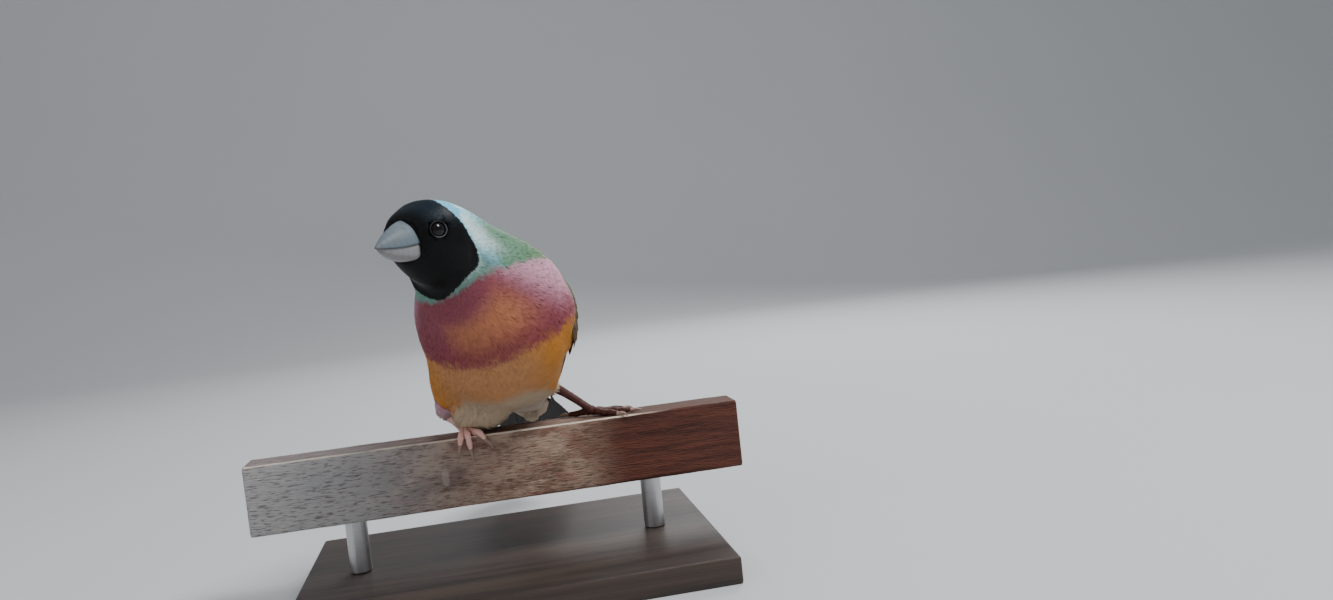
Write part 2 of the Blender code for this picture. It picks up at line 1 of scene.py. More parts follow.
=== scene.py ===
"""A gouldian finch at life size, crouched on a cut length of flat bar on a plain display stand.

The file is laid out as an add-on: settings a user would change are properties, and one operator makes
each piece. Lengths inside the functions are millimetres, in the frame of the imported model.
"""
import math

import bpy
import numpy as np
from mathutils import Matrix, Vector


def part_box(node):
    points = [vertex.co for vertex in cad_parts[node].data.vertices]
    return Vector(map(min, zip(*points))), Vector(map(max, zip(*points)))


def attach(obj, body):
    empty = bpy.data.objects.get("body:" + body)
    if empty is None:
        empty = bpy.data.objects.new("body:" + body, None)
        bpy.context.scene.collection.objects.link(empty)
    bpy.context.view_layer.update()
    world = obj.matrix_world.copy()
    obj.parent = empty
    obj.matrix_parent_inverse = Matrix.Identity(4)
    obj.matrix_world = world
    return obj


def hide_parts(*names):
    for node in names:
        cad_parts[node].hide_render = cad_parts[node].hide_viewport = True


bl_info = {
    "name": "Gouldian finch on a bar",
    "version": (1, 0, 0),
    "blender": (4, 5, 0),
    "location": "View3D > Sidebar > Finch",
    "description": "Builds a life-size gouldian finch on a cut length of bar, with its stand and stage",
    "category": "Add Mesh",
}

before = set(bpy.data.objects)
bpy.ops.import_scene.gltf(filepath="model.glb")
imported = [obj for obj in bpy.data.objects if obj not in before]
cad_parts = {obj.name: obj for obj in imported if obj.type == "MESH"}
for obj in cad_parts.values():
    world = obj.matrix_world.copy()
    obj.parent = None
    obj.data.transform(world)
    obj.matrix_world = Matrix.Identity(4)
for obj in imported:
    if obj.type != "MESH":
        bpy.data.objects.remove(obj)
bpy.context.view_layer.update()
MM = 0.001
TURN = 2 * math.pi

# The bar's corners, the point of its upper face that the bird is measured from, and half its depth
BAR_LOW = np.array(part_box("perch")[0]) / MM
BAR_HIGH = np.array(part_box("perch")[1]) / MM
BIRD_ORIGIN = np.array([-3.0, 0.0, BAR_HIGH[2]])
BAR_HALF_DEPTH = (BAR_HIGH[1] - BAR_LOW[1]) / 2

# Sections of the body from the middle of the tail to the base of the bill:
# centre x, y, z, yaw and pitch in degrees, half width, height above and depth below
BODY = np.array([
    (14.2, 51.2, -6.0, 8, 22, 6.2, 2.8, 2.4),
    (12.9, 42.3, -2.1, 8, 22, 5.9, 2.8, 2.6),
    (11.4, 33.0, 1.8, 9, 22, 5.6, 2.8, 3.2),
    (10.2, 25.0, 4.9, 11, 24, 7.5, 5.2, 4.8),
    (8.5, 12.5, 11.6, 14, 27, 11.4, 9.7, 9.4),
    (6.9, 1.0, 18.5, 17, 30, 14.8, 13.8, 15.5),
    (5.6, -9.5, 24.6, 20, 32, 17.4, 15.5, 17.2),
    (3.4, -17.5, 30.8, 21, 30, 16.5, 14.8, 15.2),
    (-0.8, -23.0, 37.0, 24, 22, 10.9, 12.0, 12.4),
    (-4.4, -27.2, 41.6, 30, 6, 8.3, 11.2, 11.2),
    (-6.5, -30.0, 44.4, 36, -6, 8.4, 9.6, 9.5),
    (-8.6, -33.0, 45.0, 36, -8, 7.3, 7.8, 7.6),
    (-10.4, -35.4, 45.5, 36, -8, 5.6, 5.9, 5.5),
    (-11.4, -36.7, 45.8, 36, -8, 3.8, 4.1, 4.0),
])
ROUNDNESS_ABOVE = 2.45
ROUNDNESS_BELOW = 1.9
SKIN_ROWS = (1.7, 13.0)
TAIL_ROW = 2.0
SKULL_ROW = 10.0
BILL_ROW = 13.0

# Borders of the markings, as rows of BODY: powers of the cosine of the turn from the back's ridge
MASK_EDGE = (8.74, 0.54, 2.64, -0.39, -1.69)
BREAST_EDGE = (7.8, -1.61, -0.28, -0.36)
BREAST_FALL = 9.0
BELLY_EDGE = (6.07, -1.17, -0.03, 0.2)
BORDER_LEANS = (0.2, 0.4, 0.15)
WARM_TURN = math.radians(28.0)

# Plumage by row: depth of the coat, length and width of a feather, and steps along and round
PLUMAGE_ROWS = (1.7, 3.5, 5.0, 6.5, 8.0, 9.0, 9.8, 11.0, 12.3, 13.0)
PLUMAGE_DEPTH = (0.7, 0.9, 1.0, 1.0, 0.9, 0.75, 0.6, 0.5, 0.4, 0.3)
PLUMAGE_LENGTH = (8.0, 6.6, 5.8, 5.4, 4.4, 3.2, 2.5, 1.9, 1.3, 1.0)
PLUMAGE_WIDTH = (2.6, 2.6, 2.5, 2.45, 2.1, 1.7, 1.35, 1.05, 0.78, 0.6)
PLUMAGE_STEP = (1.8, 1.65, 1.5, 1.4, 1.2, 0.9, 0.7, 0.55, 0.44, 0.38)
PLUMAGE_SIDE = (1.5, 1.4, 1.28, 1.22, 1.05, 0.84, 0.7, 0.55, 0.45, 0.38)

# Feathers: how far the shading's normals turn outwards at a barb's edges, how much shorter the
# outermost barbs are, the share of the width at the root and the power by which it opens, a barb's
# taper, and the side of a feather's patch in the atlas
BARB_ROUND = 0.16
BARB_SHORTER = 0.3
FAN_ROOT = 0.25
FAN_POWER = 0.6
BARB_TAPER = ((0, 0.3, 0.7, 1), (0.6, 1.0, 0.85, 0.0))
PATCH_SIDE = 0.003

# Rings and sides of the skin and of each thigh's part of it, and how deep it lies under the coat
SKIN_GRID = (150, 140)
THIGH_GRID = (30, 48)
SKIN_SINK = 0.08
THIGH_SINK = 0.65

# Coat pieces: first and last row of their roots, barbs and sections of a feather, and the slot
COAT_PIECES = {
    "coat_rear": (1.8, 5.0, 11, 3, "body_feathers"),
    "coat_flank": (5.0, 6.3, 13, 3, "body_feathers"),
    "coat_breast": (6.3, 7.4, 13, 3, "body_feathers"),
    "coat_shoulder": (7.4, 8.7, 11, 3, "body_feathers"),
    "coat_collar": (8.7, 10.0, 8, 3, "collar_feathers"),
    "coat_face": (10.0, 12.95, 6, 2, "mask_feathers"),
}

# Eyes: ahead of, beside and above the centre of the skull, and how they look
EYE_PLACE = (4.0, 5.15, 3.5)
EYE_RADIUS = 2.1
EYE_FORWARD_TURN = 24.0
EYE_UPWARD_TURN = 8.0
RIM_RADIUS = 1.72
RIM_SEAT = 1.62
EYE_CLEARING = 2.05
RIM_STEPS = 96
RIM_SIDES = 16

# Bill, from the middle of the head's front face
BILL_LENGTH = 8.3
BILL_SEAT = 0.5
BILL_HALF_WIDTH = 3.7
UPPER_DEPTH = 4.7
LOWER_DEPTH = 3.1
LOWER_SHARE = 0.94
MOUTH_HEIGHT = -0.7
MOUTH_DROP = -0.95
NOSTRIL_PLACE = (0.9, 1.75, 2.7)
UPPER_ROUNDING = (1.0, 0.9)
LOWER_ROUNDING = (0.5, 0.5)

# Legs; a claw's knots are places along its toe, with the toe's length as 1, and heights over the bar
ANKLE = {"right": (-8.6, 5.5, 4.7), "left": (18.6, 1.4, 7.2)}
BALL = {"right": (-4.6, -1.6, 1.55), "left": (25.6, 0.2, 1.55)}
THIGH_ROOT = {"right": (-4.0, -4.5, 15.5), "left": (9.5, -1.0, 12.5)}
THIGH_RADII = {"right": (6.6, 5.9, 4.0, 2.5), "left": (5.4, 4.3, 2.6, 1.45)}
TOES = {
    "right": ((-1.5, -6.2, 4), (0.9, -7.4, 5), (4.5, -5.4, 4), (0.6, 6.4, 3)),
    "left": ((6.0, -4.4, 4), (9.6, -2.2, 5), (8.2, 2.6, 4), (-5.4, 3.2, 3)),
}
LEG_SHARE = {"right": 1.0, "left": 0.7}
THIGH_END = {"right": 0.96, "left": 0.8}
TOE_RADIUS = 0.98
CLAW_LENGTH = 2.6
CLAW_KNOTS = ((1.0, 0.5), (1.12, 0.62), (1.22, 0.48), (1.3, 0.12))
CLAW_RADIUS = 0.44
CLAW_TIP = 0.03
PAD_RADIUS = 1.25
PAD_HEIGHT = 1.18
SHANK_PLATES = 11
SHANK_RADII = ((0, 0.2, 0.34, 0.46, 0.8, 0.94, 1), (1.6, 1.65, 1.65, 1.45, 1.3, 1.35, 1.25))

# Draping of the coat over the upper part of the thighs
DRAPE_END = 0.5
THIGH_TINT = (0.45, 0.7)
DRAPE_EASE = 1.3
DRAPE_MOST = 3.2
DRAPE_PASSES = 4

# Where the coat stands higher, by how much, and its rows and degrees: none, full, full and none
BEND_LIFT = 0.9
BEND_ZONE = ((5.1, 5.5, 6.35, 6.95), (62, 84, 98, 112))
NAPE_LIFT = 0.6
NAPE_ROWS = (7.1, 7.8, 8.7, 9.6)
VENT_HANG = 3.4
VENT_ROWS = (3.3, 5.6)
VENT_TURNS = (128, 238)
VENT_ZONE = ((3.5, 4.6, 5.0, 5.6), (172, 196, 208, 230))
DROOP_ZONE = ((4.2, 4.7, 5.1, 5.6), (176, 194, 212, 230))

# Tiers of wing feathers from the lowest: how many, then for the first and the last the root's row
# and degrees, the tip's row and degrees, the half width, the heights of root and tip, and the tints
WING_TIERS = (
    (9, (5.7, 86.0), (4.3, 74.0), (0.95, 82.0), (2.9, 64.0), 2.3, (0.6, 1.1), (1.1, 1.5), (0.0, 0.0)),
    (7, (5.1, 74.0), (5.1, 26.0), (2.95, 54.0), (3.9, 17.0), 2.9, (0.6, 0.6), (1.5, 1.7), (0.4, 0.5)),
    (9, (5.8, 94.0), (5.8, 27.0), (4.7, 91.0), (4.75, 21.0), 2.3, (0.9, 0.2), (1.3, 1.6), (0.5, 0.9)),
    (8, (6.15, 97.0), (6.2, 34.0), (5.35, 98.0), (5.3, 27.0), 2.2, (0.9, -0.3), (1.6, 1.6), (0.55, 1.0)),
    (10, (6.4, 92.0), (6.5, 36.0), (5.7, 100.0), (5.75, 30.0), 1.6, (-0.3, -0.5), (1.8, 1.3),
     (0.6, 1.0)),
)
WING_TUCK = {1: 0.0, -1: 7.0}
BEND_ROOTS = ((5.7, 6.35), (84.0, 101.0))
WING_ROWS = (6.5, 3.1)

# Shares of a wing's length between which it hides the coat, and degrees kept free inside its edges
WING_HIDES = (0.07, 0.95)
UPPER_MARGIN = 9
LOWER_MARGIN = ((0.3, 0.5), (1.0, 9.0))

# Edges of a folded wing: shares of its length, and degrees
WING_UPPER_EDGE = ((0.0, 52.0), (0.12, 30.0), (0.4, 15.0), (0.75, 20.0), (1.0, 38.0))
WING_LOWER_EDGE = ((0.0, 72.0), (0.12, 88.0), (0.4, 86.0), (0.75, 80.0), (1.0, 68.0))

# Tail: lengths of the feathers from the middle pair outwards
TAIL_LENGTHS = (49.0, 36.5, 35.0, 33.0, 31.0, 28.0)
TAIL_HALF_WIDTH = 2.4
TAIL_ROOT_STEP = 0.95
TAIL_FAN_STEP = 1.5
TAIL_HEIGHT = 0.75
TAIL_PAIR_STEP = 0.34
TAIL_SIDE_STEP = 0.13
TAIL_DROOP = 1.6
TAIL_STUB = 9.0
STUB_WIDTHS = ((0, 0.35, 0.7, 1), (4.7, 4.5, 3.7, 1.6))
STUB_HEIGHTS = ((0, 0.35, 0.7, 1), (2.2, 1.9, 1.3, 0.5))
COVERT_WIDTHS = ((0, 1, 2.2), (6.2, 5.6, 3.6))
COVERT_HEIGHTS = ((0, 1, 2.2), (2.9, 2.0, 1.5))
COVERT_MARK_ROW = 2.6

# Thickness, height of the rib and camber of a vane, and the tint that makes a vane the tail's
WING_PLATE = (0.32, 0.12, 0.12)
TAIL_PLATE = (0.3, 0.14, 0.12)
TAIL_TINT = 2.0

# Vanes: points across one, the height and pace of the waves in its edges, the shaft's width, how much
# of the shaft and of the thickness is lost by the tip, how much of the thickness at the edges, and the
# least thickness; cells along a side of their atlas, and points along a feather of the tail
VANE_COLUMNS = 9
EDGE_WAVE = 0.035
EDGE_PACE = 57
SHAFT_WIDTH = 0.22
SHAFT_LOSS = 0.7
TIP_LOSS = 0.55
EDGE_LOSS = 0.75
LEAST_WALL = 0.03
ATLAS_CELLS = 16
TAIL_POINTS = 26

# Outlines of vanes: shares of the length, and the half width there as a share of the widest
FLIGHT_OUTLINE = ((0, 0.1, 0.45, 0.8, 0.93, 1), (0.4, 0.75, 1.0, 0.85, 0.5, 0.08))
COVERT_OUTLINE = ((0, 0.2, 0.65, 0.88, 1), (0.5, 0.85, 1.0, 0.75, 0.12))
TAIL_OUTLINE = ((0, 0.3, 0.7, 0.92, 1), (0.85, 0.95, 1.0, 0.65, 0.1))
PIN_OUTLINE = ((0, 0.28, 0.56, 0.72, 0.9, 1), (0.5, 0.95, 0.9, 0.3, 0.13, 0.05))

# Bar: how far its long edges and its ends are rounded, and its wear: depth, and lengths along and
# round of coarse dents, of fine ones, and of broad hollows
BAR_CORNER = 0.45
BAR_END = 0.55
DENT_DEPTH = 0.11
COARSE_DENTS = (3.5, 0.55)
FINE_DENTS = (1.2, 0.3)
HOLLOW_DEPTH = 0.05
HOLLOWS = (9.0, 2.0)
SPECKLES = 257

# Floor: half its width, its front and the start of its bend, the bend's radius and the wall's top
FLOOR_HALF = 1800.0
FLOOR_FRONT = -1500.0
FLOOR_FLAT = 700
FLOOR_BEND = 500
WALL_TOP = 1800.0

# Lights: name, place, the setting for its power and its share of that, and width
LIGHTS = (
    ("key", (0.35, -0.27, 0.66), "key", 1.0, 0.24),
    ("fill", (-0.55, -0.35, 0.25), "fill", 1.0, 0.6),
    ("rim", (0.25, 0.5, 0.45), "key", 0.54, 0.4),
)

# What the lights aim at, in metres, and the even light's colour
LIGHT_TARGET = (0, 0, 0.05)
SKY_COLOUR = (0.93, 0.96, 1.0, 1.0)

# The camera: the point it looks at, from the bird's own origin, and its degrees
CAMERA_TARGET = (46.9, 0.0, 25.8)
CAMERA_AZIMUTH = 10.0
CAMERA_PITCH = 3.5
CAMERA_ROLL = 6.2


def tone(red, green, blue):
    """A linear colour from screen values of 0 to 255."""
    shares = np.array([red, green, blue]) / 255
    return tuple(np.where(shares < 0.04045, shares / 12.92, ((shares + 0.055) / 1.055) ** 2.4))


def colour_property(name, description, red, green, blue):
    """A colour that a user may change."""
    return bpy.props.FloatVectorProperty(name=name, description=description, subtype="COLOR", size=3,
                                         min=0.0, max=1.0, default=tone(red, green, blue))


class FinchPlumage(bpy.types.PropertyGroup):
    """How the coat is grown."""
    density: bpy.props.FloatProperty(
        name="Density", description="Feathers for each step along and round the body", default=1.0)
    lean: bpy.props.FloatProperty(
        name="Lean", description="How far feathers stray from the lie", default=math.radians(4.5),
        subtype="ANGLE")
    barb_ridge: bpy.props.FloatProperty(
        name="Barb ridge", description="Height of a barb's rib", default=0.00002, subtype="DISTANCE")
    seed: bpy.props.IntProperty(name="Seed", description="Start of the random draws", default=7)


class FinchColours(bpy.types.PropertyGroup):
    """Colours of feathers, bill and skin."""
    mask: colour_property("Mask", "Face, crown and throat", 7, 7, 9)
    # The crown's blue-grey is a painted sheen over the black mask
    gloss: colour_property("Crown", "Blue gloss of the crown", 24, 36, 46)
    sky: colour_property("Nape", "Band behind the crown", 110, 206, 240)
    pale: colour_property("Ear patch", "Pale patch behind the cheek", 224, 248, 247)
    teal: colour_property("Collar", "Band under the throat", 112, 146, 136)
    green: colour_property("Back", "Back and wing coverts", 100, 132, 72)
    neck_green: colour_property("Neck side", "Side of the neck", 108, 148, 122)
    # Lighter pinkish purple of the breast's upper sides: partly its own colour, partly a painted highlight
    mauve_and_highlight: colour_property("Breast side", "Side of the breast", 214, 160, 180)
    purple: colour_property("Breast", "Breast", 138, 72, 84)
    warm: colour_property("Breast centre", "Warm middle of the breast", 186, 120, 82)
    deep: colour_property("Breast band", "Band along the belly's border", 130, 60, 66)
    yellow: colour_property("Belly", "Belly and flanks", 196, 127, 46)
    belly: colour_property("Lower belly", "Middle of the belly", 186, 136, 98)
    cream: colour_property("Vent", "Vent and lower tail coverts", 184, 162, 136)
    rump: colour_property("Rump", "Rump and upper tail coverts", 120, 182, 196)
    flight: colour_property("Flight feathers", "Primaries", 52, 40, 33)
    tail: colour_property("Tail", "Tail feathers", 30, 16, 11)
    bill: colour_property("Bill", "Upper half of the bill", 104, 116, 124)
    bill_low: colour_property("Lower bill", "Lower half of the bill", 140, 139, 141)
    leg: colour_property("Legs", "Scaled skin of legs and toes", 234, 184, 172)
    left_leg: colour_property("Left leg", "Skin of the left leg, in the body's shade", 76, 38, 31)
    claw: colour_property("Claws", "Claws", 146, 116, 106)
    rim: colour_property("Eye rim", "Bare ring round the eye", 96, 97, 102)
    iris: colour_property("Iris", "Iris", 13, 8, 7)


class FinchStage(bpy.types.PropertyGroup):
    """Camera and lights."""
    lens: bpy.props.FloatProperty(name="Lens", description="Focal length in millimetres", default=28.8)
    distance: bpy.props.FloatProperty(
        name="Distance", description="From the camera to what it looks at", default=0.26,
        subtype="DISTANCE")
    key: bpy.props.FloatProperty(name="Key light", description="Power of the key", default=4.7)
    fill: bpy.props.FloatProperty(name="Fill light", description="Power of the fill", default=0.6)
    sky: bpy.props.FloatProperty(name="Sky", description="Strength of the even light", default=0.36)


class Link:
    """A node's output that takes part in sums as a number does."""

    def __init__(self, paint, output):
        self.paint = paint
        self.output = output

    def maths(self, operation, first, second=0.0):
        return self.paint.node("ShaderNodeMath", {"operation": operation}, {0: first, 1: second})

    def __add__(self, other):
        return self.maths("ADD", self, other)

    def __sub__(self, other):
        return self.maths("SUBTRACT", self, other)

    def __rsub__(self, other):
        return self.maths("SUBTRACT", other, self)

    def __mul__(self, other):
        return self.maths("MULTIPLY", self, other)

    def __truediv__(self, other):
        return self.maths("DIVIDE", self, other)

    def __abs__(self):
        return self.maths("ABSOLUTE", self)

    __radd__ = __add__

    def wave(self):
        """Its sine."""
        return self.maths("SINE", self)

    def most(self, other):
        return self.maths("MAXIMUM", self, other)

    def least(self, other):
        return self.maths("MINIMUM", self, other)


class Paint:
    """A material whose node tree is written as sums."""

    def __init__(self, name, fixed=None):
        self.material = bpy.data.materials.new(name)
        self.material.use_nodes = True
        self.tree = self.material.node_tree
        self.shader = self.tree.nodes["Principled BSDF"]
        for socket, value in (fixed or {}).items():
            self.shader.inputs[socket].default_value = value

    def node(self, kind, settings=None, values=None, output=0):
        """Any node: its settings come first, then the numbers, colours or links of its sockets."""
        made = self.tree.nodes.new(kind)
        for key, value in (settings or {}).items():
            setattr(made, key, value)
        for key, value in (values or {}).items():
            if isinstance(value, Link):
                self.tree.links.new(value.output, made.inputs[key])
            else:
                made.inputs[key].default_value = value
        return Link(self, made.outputs[output])

    def feed(self, socket, link):
        """Join a link to a socket of the surface's shader."""
        self.tree.links.new(link.output, self.shader.inputs[socket])

    def split(self, vector):
        """The three numbers of a vector."""
        made = self.node("ShaderNodeSeparateXYZ", None, {0: vector}).output.node
        return [Link(self, made.outputs[axis]) for axis in range(3)]

    def mark(self, name):
        """The three numbers of a mesh's own attribute."""
        return self.split(self.node("ShaderNodeAttribute", {"attribute_name": name}, None, "Vector"))

    def place(self, scale=(1, 1, 1)):
        """Object coordinates, stretched."""
        coordinates = self.node("ShaderNodeTexCoord", None, None, "Object")
        return self.node("ShaderNodeMapping", None, {"Vector": coordinates, "Scale": scale})

    def axes(self):
        """Object coordinates as three numbers, in metres."""
        return self.split(self.place())

    def noise(self, vector, scale, detail=3.0, roughness=0.55):
        """Soft random variation between 0 and 1."""
        return self.node("ShaderNodeTexNoise", None, {
            "Vector": vector, "Scale": scale, "Detail": detail, "Roughness": roughness})

    def step(self, value, start, end):
        """A smooth step from 0 at start to 1 at end."""
        return self.node("ShaderNodeMapRange", {"interpolation_type": "SMOOTHSTEP"}, {
            "Value": value, "From Min": start, "From Max": end})

    def mix(self, share, low, high):
        """A colour between two colours."""
        low, high = [(*tuple(end), 1.0) if not isinstance(end, Link) else end for end in (low, high)]
        return self.node("ShaderNodeMix", {"data_type": "RGBA"}, {0: share, 6: low, 7: high}, 2)

    def dim(self, colour, share):
        """A colour made darker or lighter by a number."""
        return self.node("ShaderNodeVectorMath", {"operation": "SCALE"}, {0: colour, "Scale": share})

    def bump(self, height, distance):
        """Relief of a height in metres times a pattern."""
        self.feed("Normal", self.node("ShaderNodeBump", None, {"Height": height, "Distance": distance}))


def eased(table, at):
    """Rows between a table's rows, on the smooth cubic through them with central slopes."""
    slopes = np.gradient(table, axis=0)
    low = np.clip(np.floor(at).astype(int), 0, len(table) - 2)
    t = (np.asarray(at) - low)[..., None]
    start = (1 + 2 * t) * (1 - t) ** 2 * table[low] + t * (1 - t) ** 2 * slopes[low]
    end = t * t * (3 - 2 * t) * table[low + 1] + t * t * (t - 1) * slopes[low + 1]
    return start + end


def body_frame(at):
    """Centre, forward, left and up at a row of the body, and its three half sizes."""
    row = eased(BODY, at)
    yaw, pitch = np.radians(row[..., 3]), np.radians(row[..., 4])
    level = np.zeros_like(yaw)
    forward = np.stack([-np.sin(yaw) * np.cos(pitch), -np.cos(yaw) * np.cos(pitch), np.sin(pitch)], -1)
    left = np.stack([np.cos(yaw), -np.sin(yaw), level], -1)
    up = np.stack([np.sin(yaw) * np.sin(pitch), np.cos(yaw) * np.sin(pitch), np.cos(pitch)], -1)
    return row[..., :3] + BIRD_ORIGIN, forward, left, up, row[..., 5:8]


def body_point(at, turn, lift=0.0):
    """A point of the body, turn radians from the ridge of the back towards the left.

    Each section is two halves of a superellipse: across is half width times the sine of the turn
    to the power 2 / roundness, and upward is the half height times the cosine to that power.
    """
    at, turn, lift = np.broadcast_arrays(at, turn, lift)
    centre, _, left, up, sizes = body_frame(at)
    high = np.cos(turn) > 0
    power = 2 / np.where(high, ROUNDNESS_ABOVE, ROUNDNESS_BELOW)
    across = np.sign(np.sin(turn)) * np.abs(np.sin(turn)) ** power
    upward = np.sign(np.cos(turn)) * np.abs(np.cos(turn)) ** power
    tall = np.where(high, sizes[..., 1], sizes[..., 2])
    return (centre + left * ((sizes[..., 0] + lift) * across)[..., None]
            + up * ((tall + lift) * upward)[..., None])


def plumage(values, at):
    """A value of the coat's table at a row, straight between the rows that it is given for."""
    return np.interp(at, PLUMAGE_ROWS, values)


def blend(start, end, share):
    """A value a share of the way from start to end."""
    return start + (end - start) * share


def square_to(axis):
    """Two directions square to an axis: a level one, and the one above it."""
    beside = np.cross(axis, (0.0, 0.0, 1.0))
    beside /= np.linalg.norm(beside)
    return beside, np.cross(beside, axis)


class Surface:
    """A tube of skin read from a table of rings.

    Rings are at even steps of a place along the tube, and the points of a ring at even shares of
    its length. A reading between them is the mean of the four nearest, by nearness.
    """

    def __init__(self, point_at, first, last, rings=240, shares=360, swell=None):
        self.first, self.last, self.rings, self.shares = first, last, rings, shares
        self.swell = swell
        places = np.linspace(first, last, rings)
        turns = np.linspace(0, TURN, shares * 4 + 1)
        fine = point_at(places[:, None], turns[None, :])
        runs = np.cumsum(np.linalg.norm(np.diff(fine, axis=1), axis=2), axis=1)
        runs = np.concatenate([np.zeros((rings, 1)), runs], axis=1)
        even = np.arange(shares) / shares
        self.points = np.empty((rings, shares, 3))
        self.spokes = np.empty((rings, shares, 2))
        for ring in range(rings):
            stations = runs[ring] / runs[ring, -1]
            for axis in range(3):
                self.points[ring, :, axis] = np.interp(even, stations, fine[ring, :, axis])
            bearing = np.interp(even, stations, turns)
            self.spokes[ring] = np.stack([np.cos(bearing), np.sin(bearing)], -1)
        self.round = runs[:, -1]
        along = np.gradient(self.points, places, axis=0)
        side = np.roll(self.points, -1, axis=1) - np.roll(self.points, 1, axis=1)
        self.along = np.linalg.norm(along, axis=2)
        normals = np.cross(side, along)
        normals /= np.linalg.norm(normals, axis=2, keepdims=True)
        outward = np.sum(normals * (self.points - self.points.mean(axis=1, keepdims=True)))
        self.normals = normals * np.sign(outward)

    def read(self, table, at, share):
        """The table's value at a place along the tube and a share of the way round it."""
        row = np.clip((at - self.first) / (self.last - self.first), 0, 1) * (self.rings - 1.001)
        column = (share % 1.0) * self.shares
        low, left = row.astype(int), column.astype(int)
        up, over = row - low, column - left
        left %= self.shares
        right = (left + 1) % self.shares
        if table.ndim == 3:
            up, over = up[..., None], over[..., None]
        return ((1 - up) * ((1 - over) * table[low, left] + over * table[low, right])
                + up * ((1 - over) * table[low + 1, left] + over * table[low + 1, right]))

    def turn(self, at, share):
        """The turn at a place, from 0 to a whole turn."""
        spoke = self.read(self.spokes, at, share)
        return np.arctan2(spoke[..., 1], spoke[..., 0]) % TURN

    def ring_length(self, at):
        """The length of the ring at a place."""
        return np.interp(at, np.linspace(self.first, self.last, self.rings), self.round)

    def point(self, at, share, lift):
        """A point raised off the skin by lift, and by what the surface's swell adds there."""
        base, normal = self.read(self.points, at, share), self.read(self.normals, at, share)
        if self.swell:
            lift = self.swell(base, normal, at, self.turn(at, share), lift)
        return base + normal * np.asarray(lift)[..., None]


def ring_faces(rings, sides):
    """Faces of a tube of rings, closed at both ends by fans to the two points after the rings."""
    ring, side = np.meshgrid(np.arange(rings - 1), np.arange(sides), indexing="ij")
    after = (side + 1) % sides
    a, b = ring * sides + side, ring * sides + after
    quads = np.stack([a, b, b + sides, a + sides], axis=-1).reshape(-1, 4)
    edge = np.arange(sides)
    step = (edge + 1) % sides
    last = (rings - 1) * sides
    first_fan = np.stack([step, edge, np.full(sides, rings * sides)], axis=-1)
    last_fan = np.stack([last + edge, last + step, np.full(sides, rings * sides + 1)], axis=-1)
    return [quads, np.concatenate([first_fan, last_fan])]


def tube(rings):
    """Points and faces of a closed tube from an array of rings."""
    points = np.concatenate([rings.reshape(-1, 3), [rings[0].mean(0), rings[-1].mean(0)]])
    return outward(points, ring_faces(*rings.shape[:2]))


def outward(points, faces):
    """Points and faces of a closed shape, with its faces turned so that its volume is positive."""
    volume = 0.0
    for part in faces:
        first = points[part[:, 0]]
        for corner in range(1, part.shape[1] - 1):
            volume += np.sum(first * np.cross(points[part[:, corner]], points[part[:, corner + 1]]))
    if volume < 0:
        faces = [part[:, ::-1] for part in faces]
    return points, faces


def merged(shapes):
    """Several shapes of points, faces and marks as one, each face list moved along."""
    points, faces, marks, start = [], {}, {}, 0
    for shape in shapes:
        points.append(shape[0])
        for part in shape[1]:
            faces.setdefault(part.shape[1], []).append(part + start)
        for key, values in (shape[2] if len(shape) > 2 else {}).items():
            marks.setdefault(key, []).append(values)
        start += len(shape[0])
    return (np.concatenate(points), [np.concatenate(part) for part in faces.values()],
            {key: np.concatenate(values) for key, values in marks.items()})


def build_piece(name, shape, paint, nodes=(), patches=None):
    """Put a shape into a mesh object that rides on the model and stands for its nodes."""
    points, faces = shape[0], shape[1]
    marks = dict(shape[2]) if len(shape) > 2 else {}
    facing = marks.pop("facing", None)
    data = bpy.data.meshes.new(name)
    loops = np.concatenate([part.ravel() for part in faces])
    totals = np.concatenate([np.full(len(part), part.shape[1]) for part in faces])
    data.vertices.add(len(points))
    data.vertices.foreach_set("co", (points * MM).ravel())
    data.loops.add(len(loops))
    data.loops.foreach_set("vertex_index", loops)
    data.polygons.add(len(totals))
    data.polygons.foreach_set("loop_start", np.cumsum(totals) - totals)
    data.polygons.foreach_set("use_smooth", np.ones(len(totals), bool))
    for key, values in marks.items():
        data.attributes.new(key, "FLOAT_VECTOR", "POINT").data.foreach_set("vector", values.ravel())
    if patches is not None:
        data.uv_layers.new(name="OFBake").data.foreach_set("uv", patches[loops].ravel())
    data.update(calc_edges=True)
    if facing is not None:
        facing = facing / np.linalg.norm(facing, axis=1, keepdims=True)
        data.normals_split_custom_set_from_vertices(facing)
    data.materials.append(paint)
    piece = bpy.data.objects.new(name, data)
    bpy.context.scene.collection.objects.link(piece)
    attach(piece, "root")
    if nodes:
        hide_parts(*nodes)


def eye_axis(side):
    """Where an eyeball's centre is and which way it looks; side is 1 for the left."""
    centre, forward, left, up, _ = body_frame(np.array(SKULL_ROW))
    place = centre + forward * EYE_PLACE[0] + left * side * EYE_PLACE[1] + up * EYE_PLACE[2]
    ahead, high = math.radians(EYE_FORWARD_TURN), math.radians(EYE_UPWARD_TURN)
    look = forward * math.sin(ahead) + left * side * math.cos(ahead) + up * math.sin(high)
    return place, look / np.linalg.norm(look)


def place_marks(at, share):
    """The marks of border_marks at rows and shares of the way round."""
    return border_marks(at, np.cos(TURN * share), np.sin(TURN * share))


def border_marks(at, cosine, sine):
    """Marks that the coat's paint reads: the place, and rows ahead of each border.

    Each border is a sum of powers of the cosine of the turn from the back's ridge, plus its lean
    times the sine. The breast's border falls away on the back by the square of the cosine there.
    """
    borders = []
    for powers, lean in zip((MASK_EDGE, BREAST_EDGE, BELLY_EDGE), BORDER_LEANS):
        borders.append(at - np.polyval(powers[::-1], cosine) - lean * sine)
    borders[1] = borders[1] + BREAST_FALL * np.maximum(cosine - 0.5, 0.0) ** 2
    return {"place": np.stack([at, cosine, sine], -1), "bands": np.stack(borders, -1)}


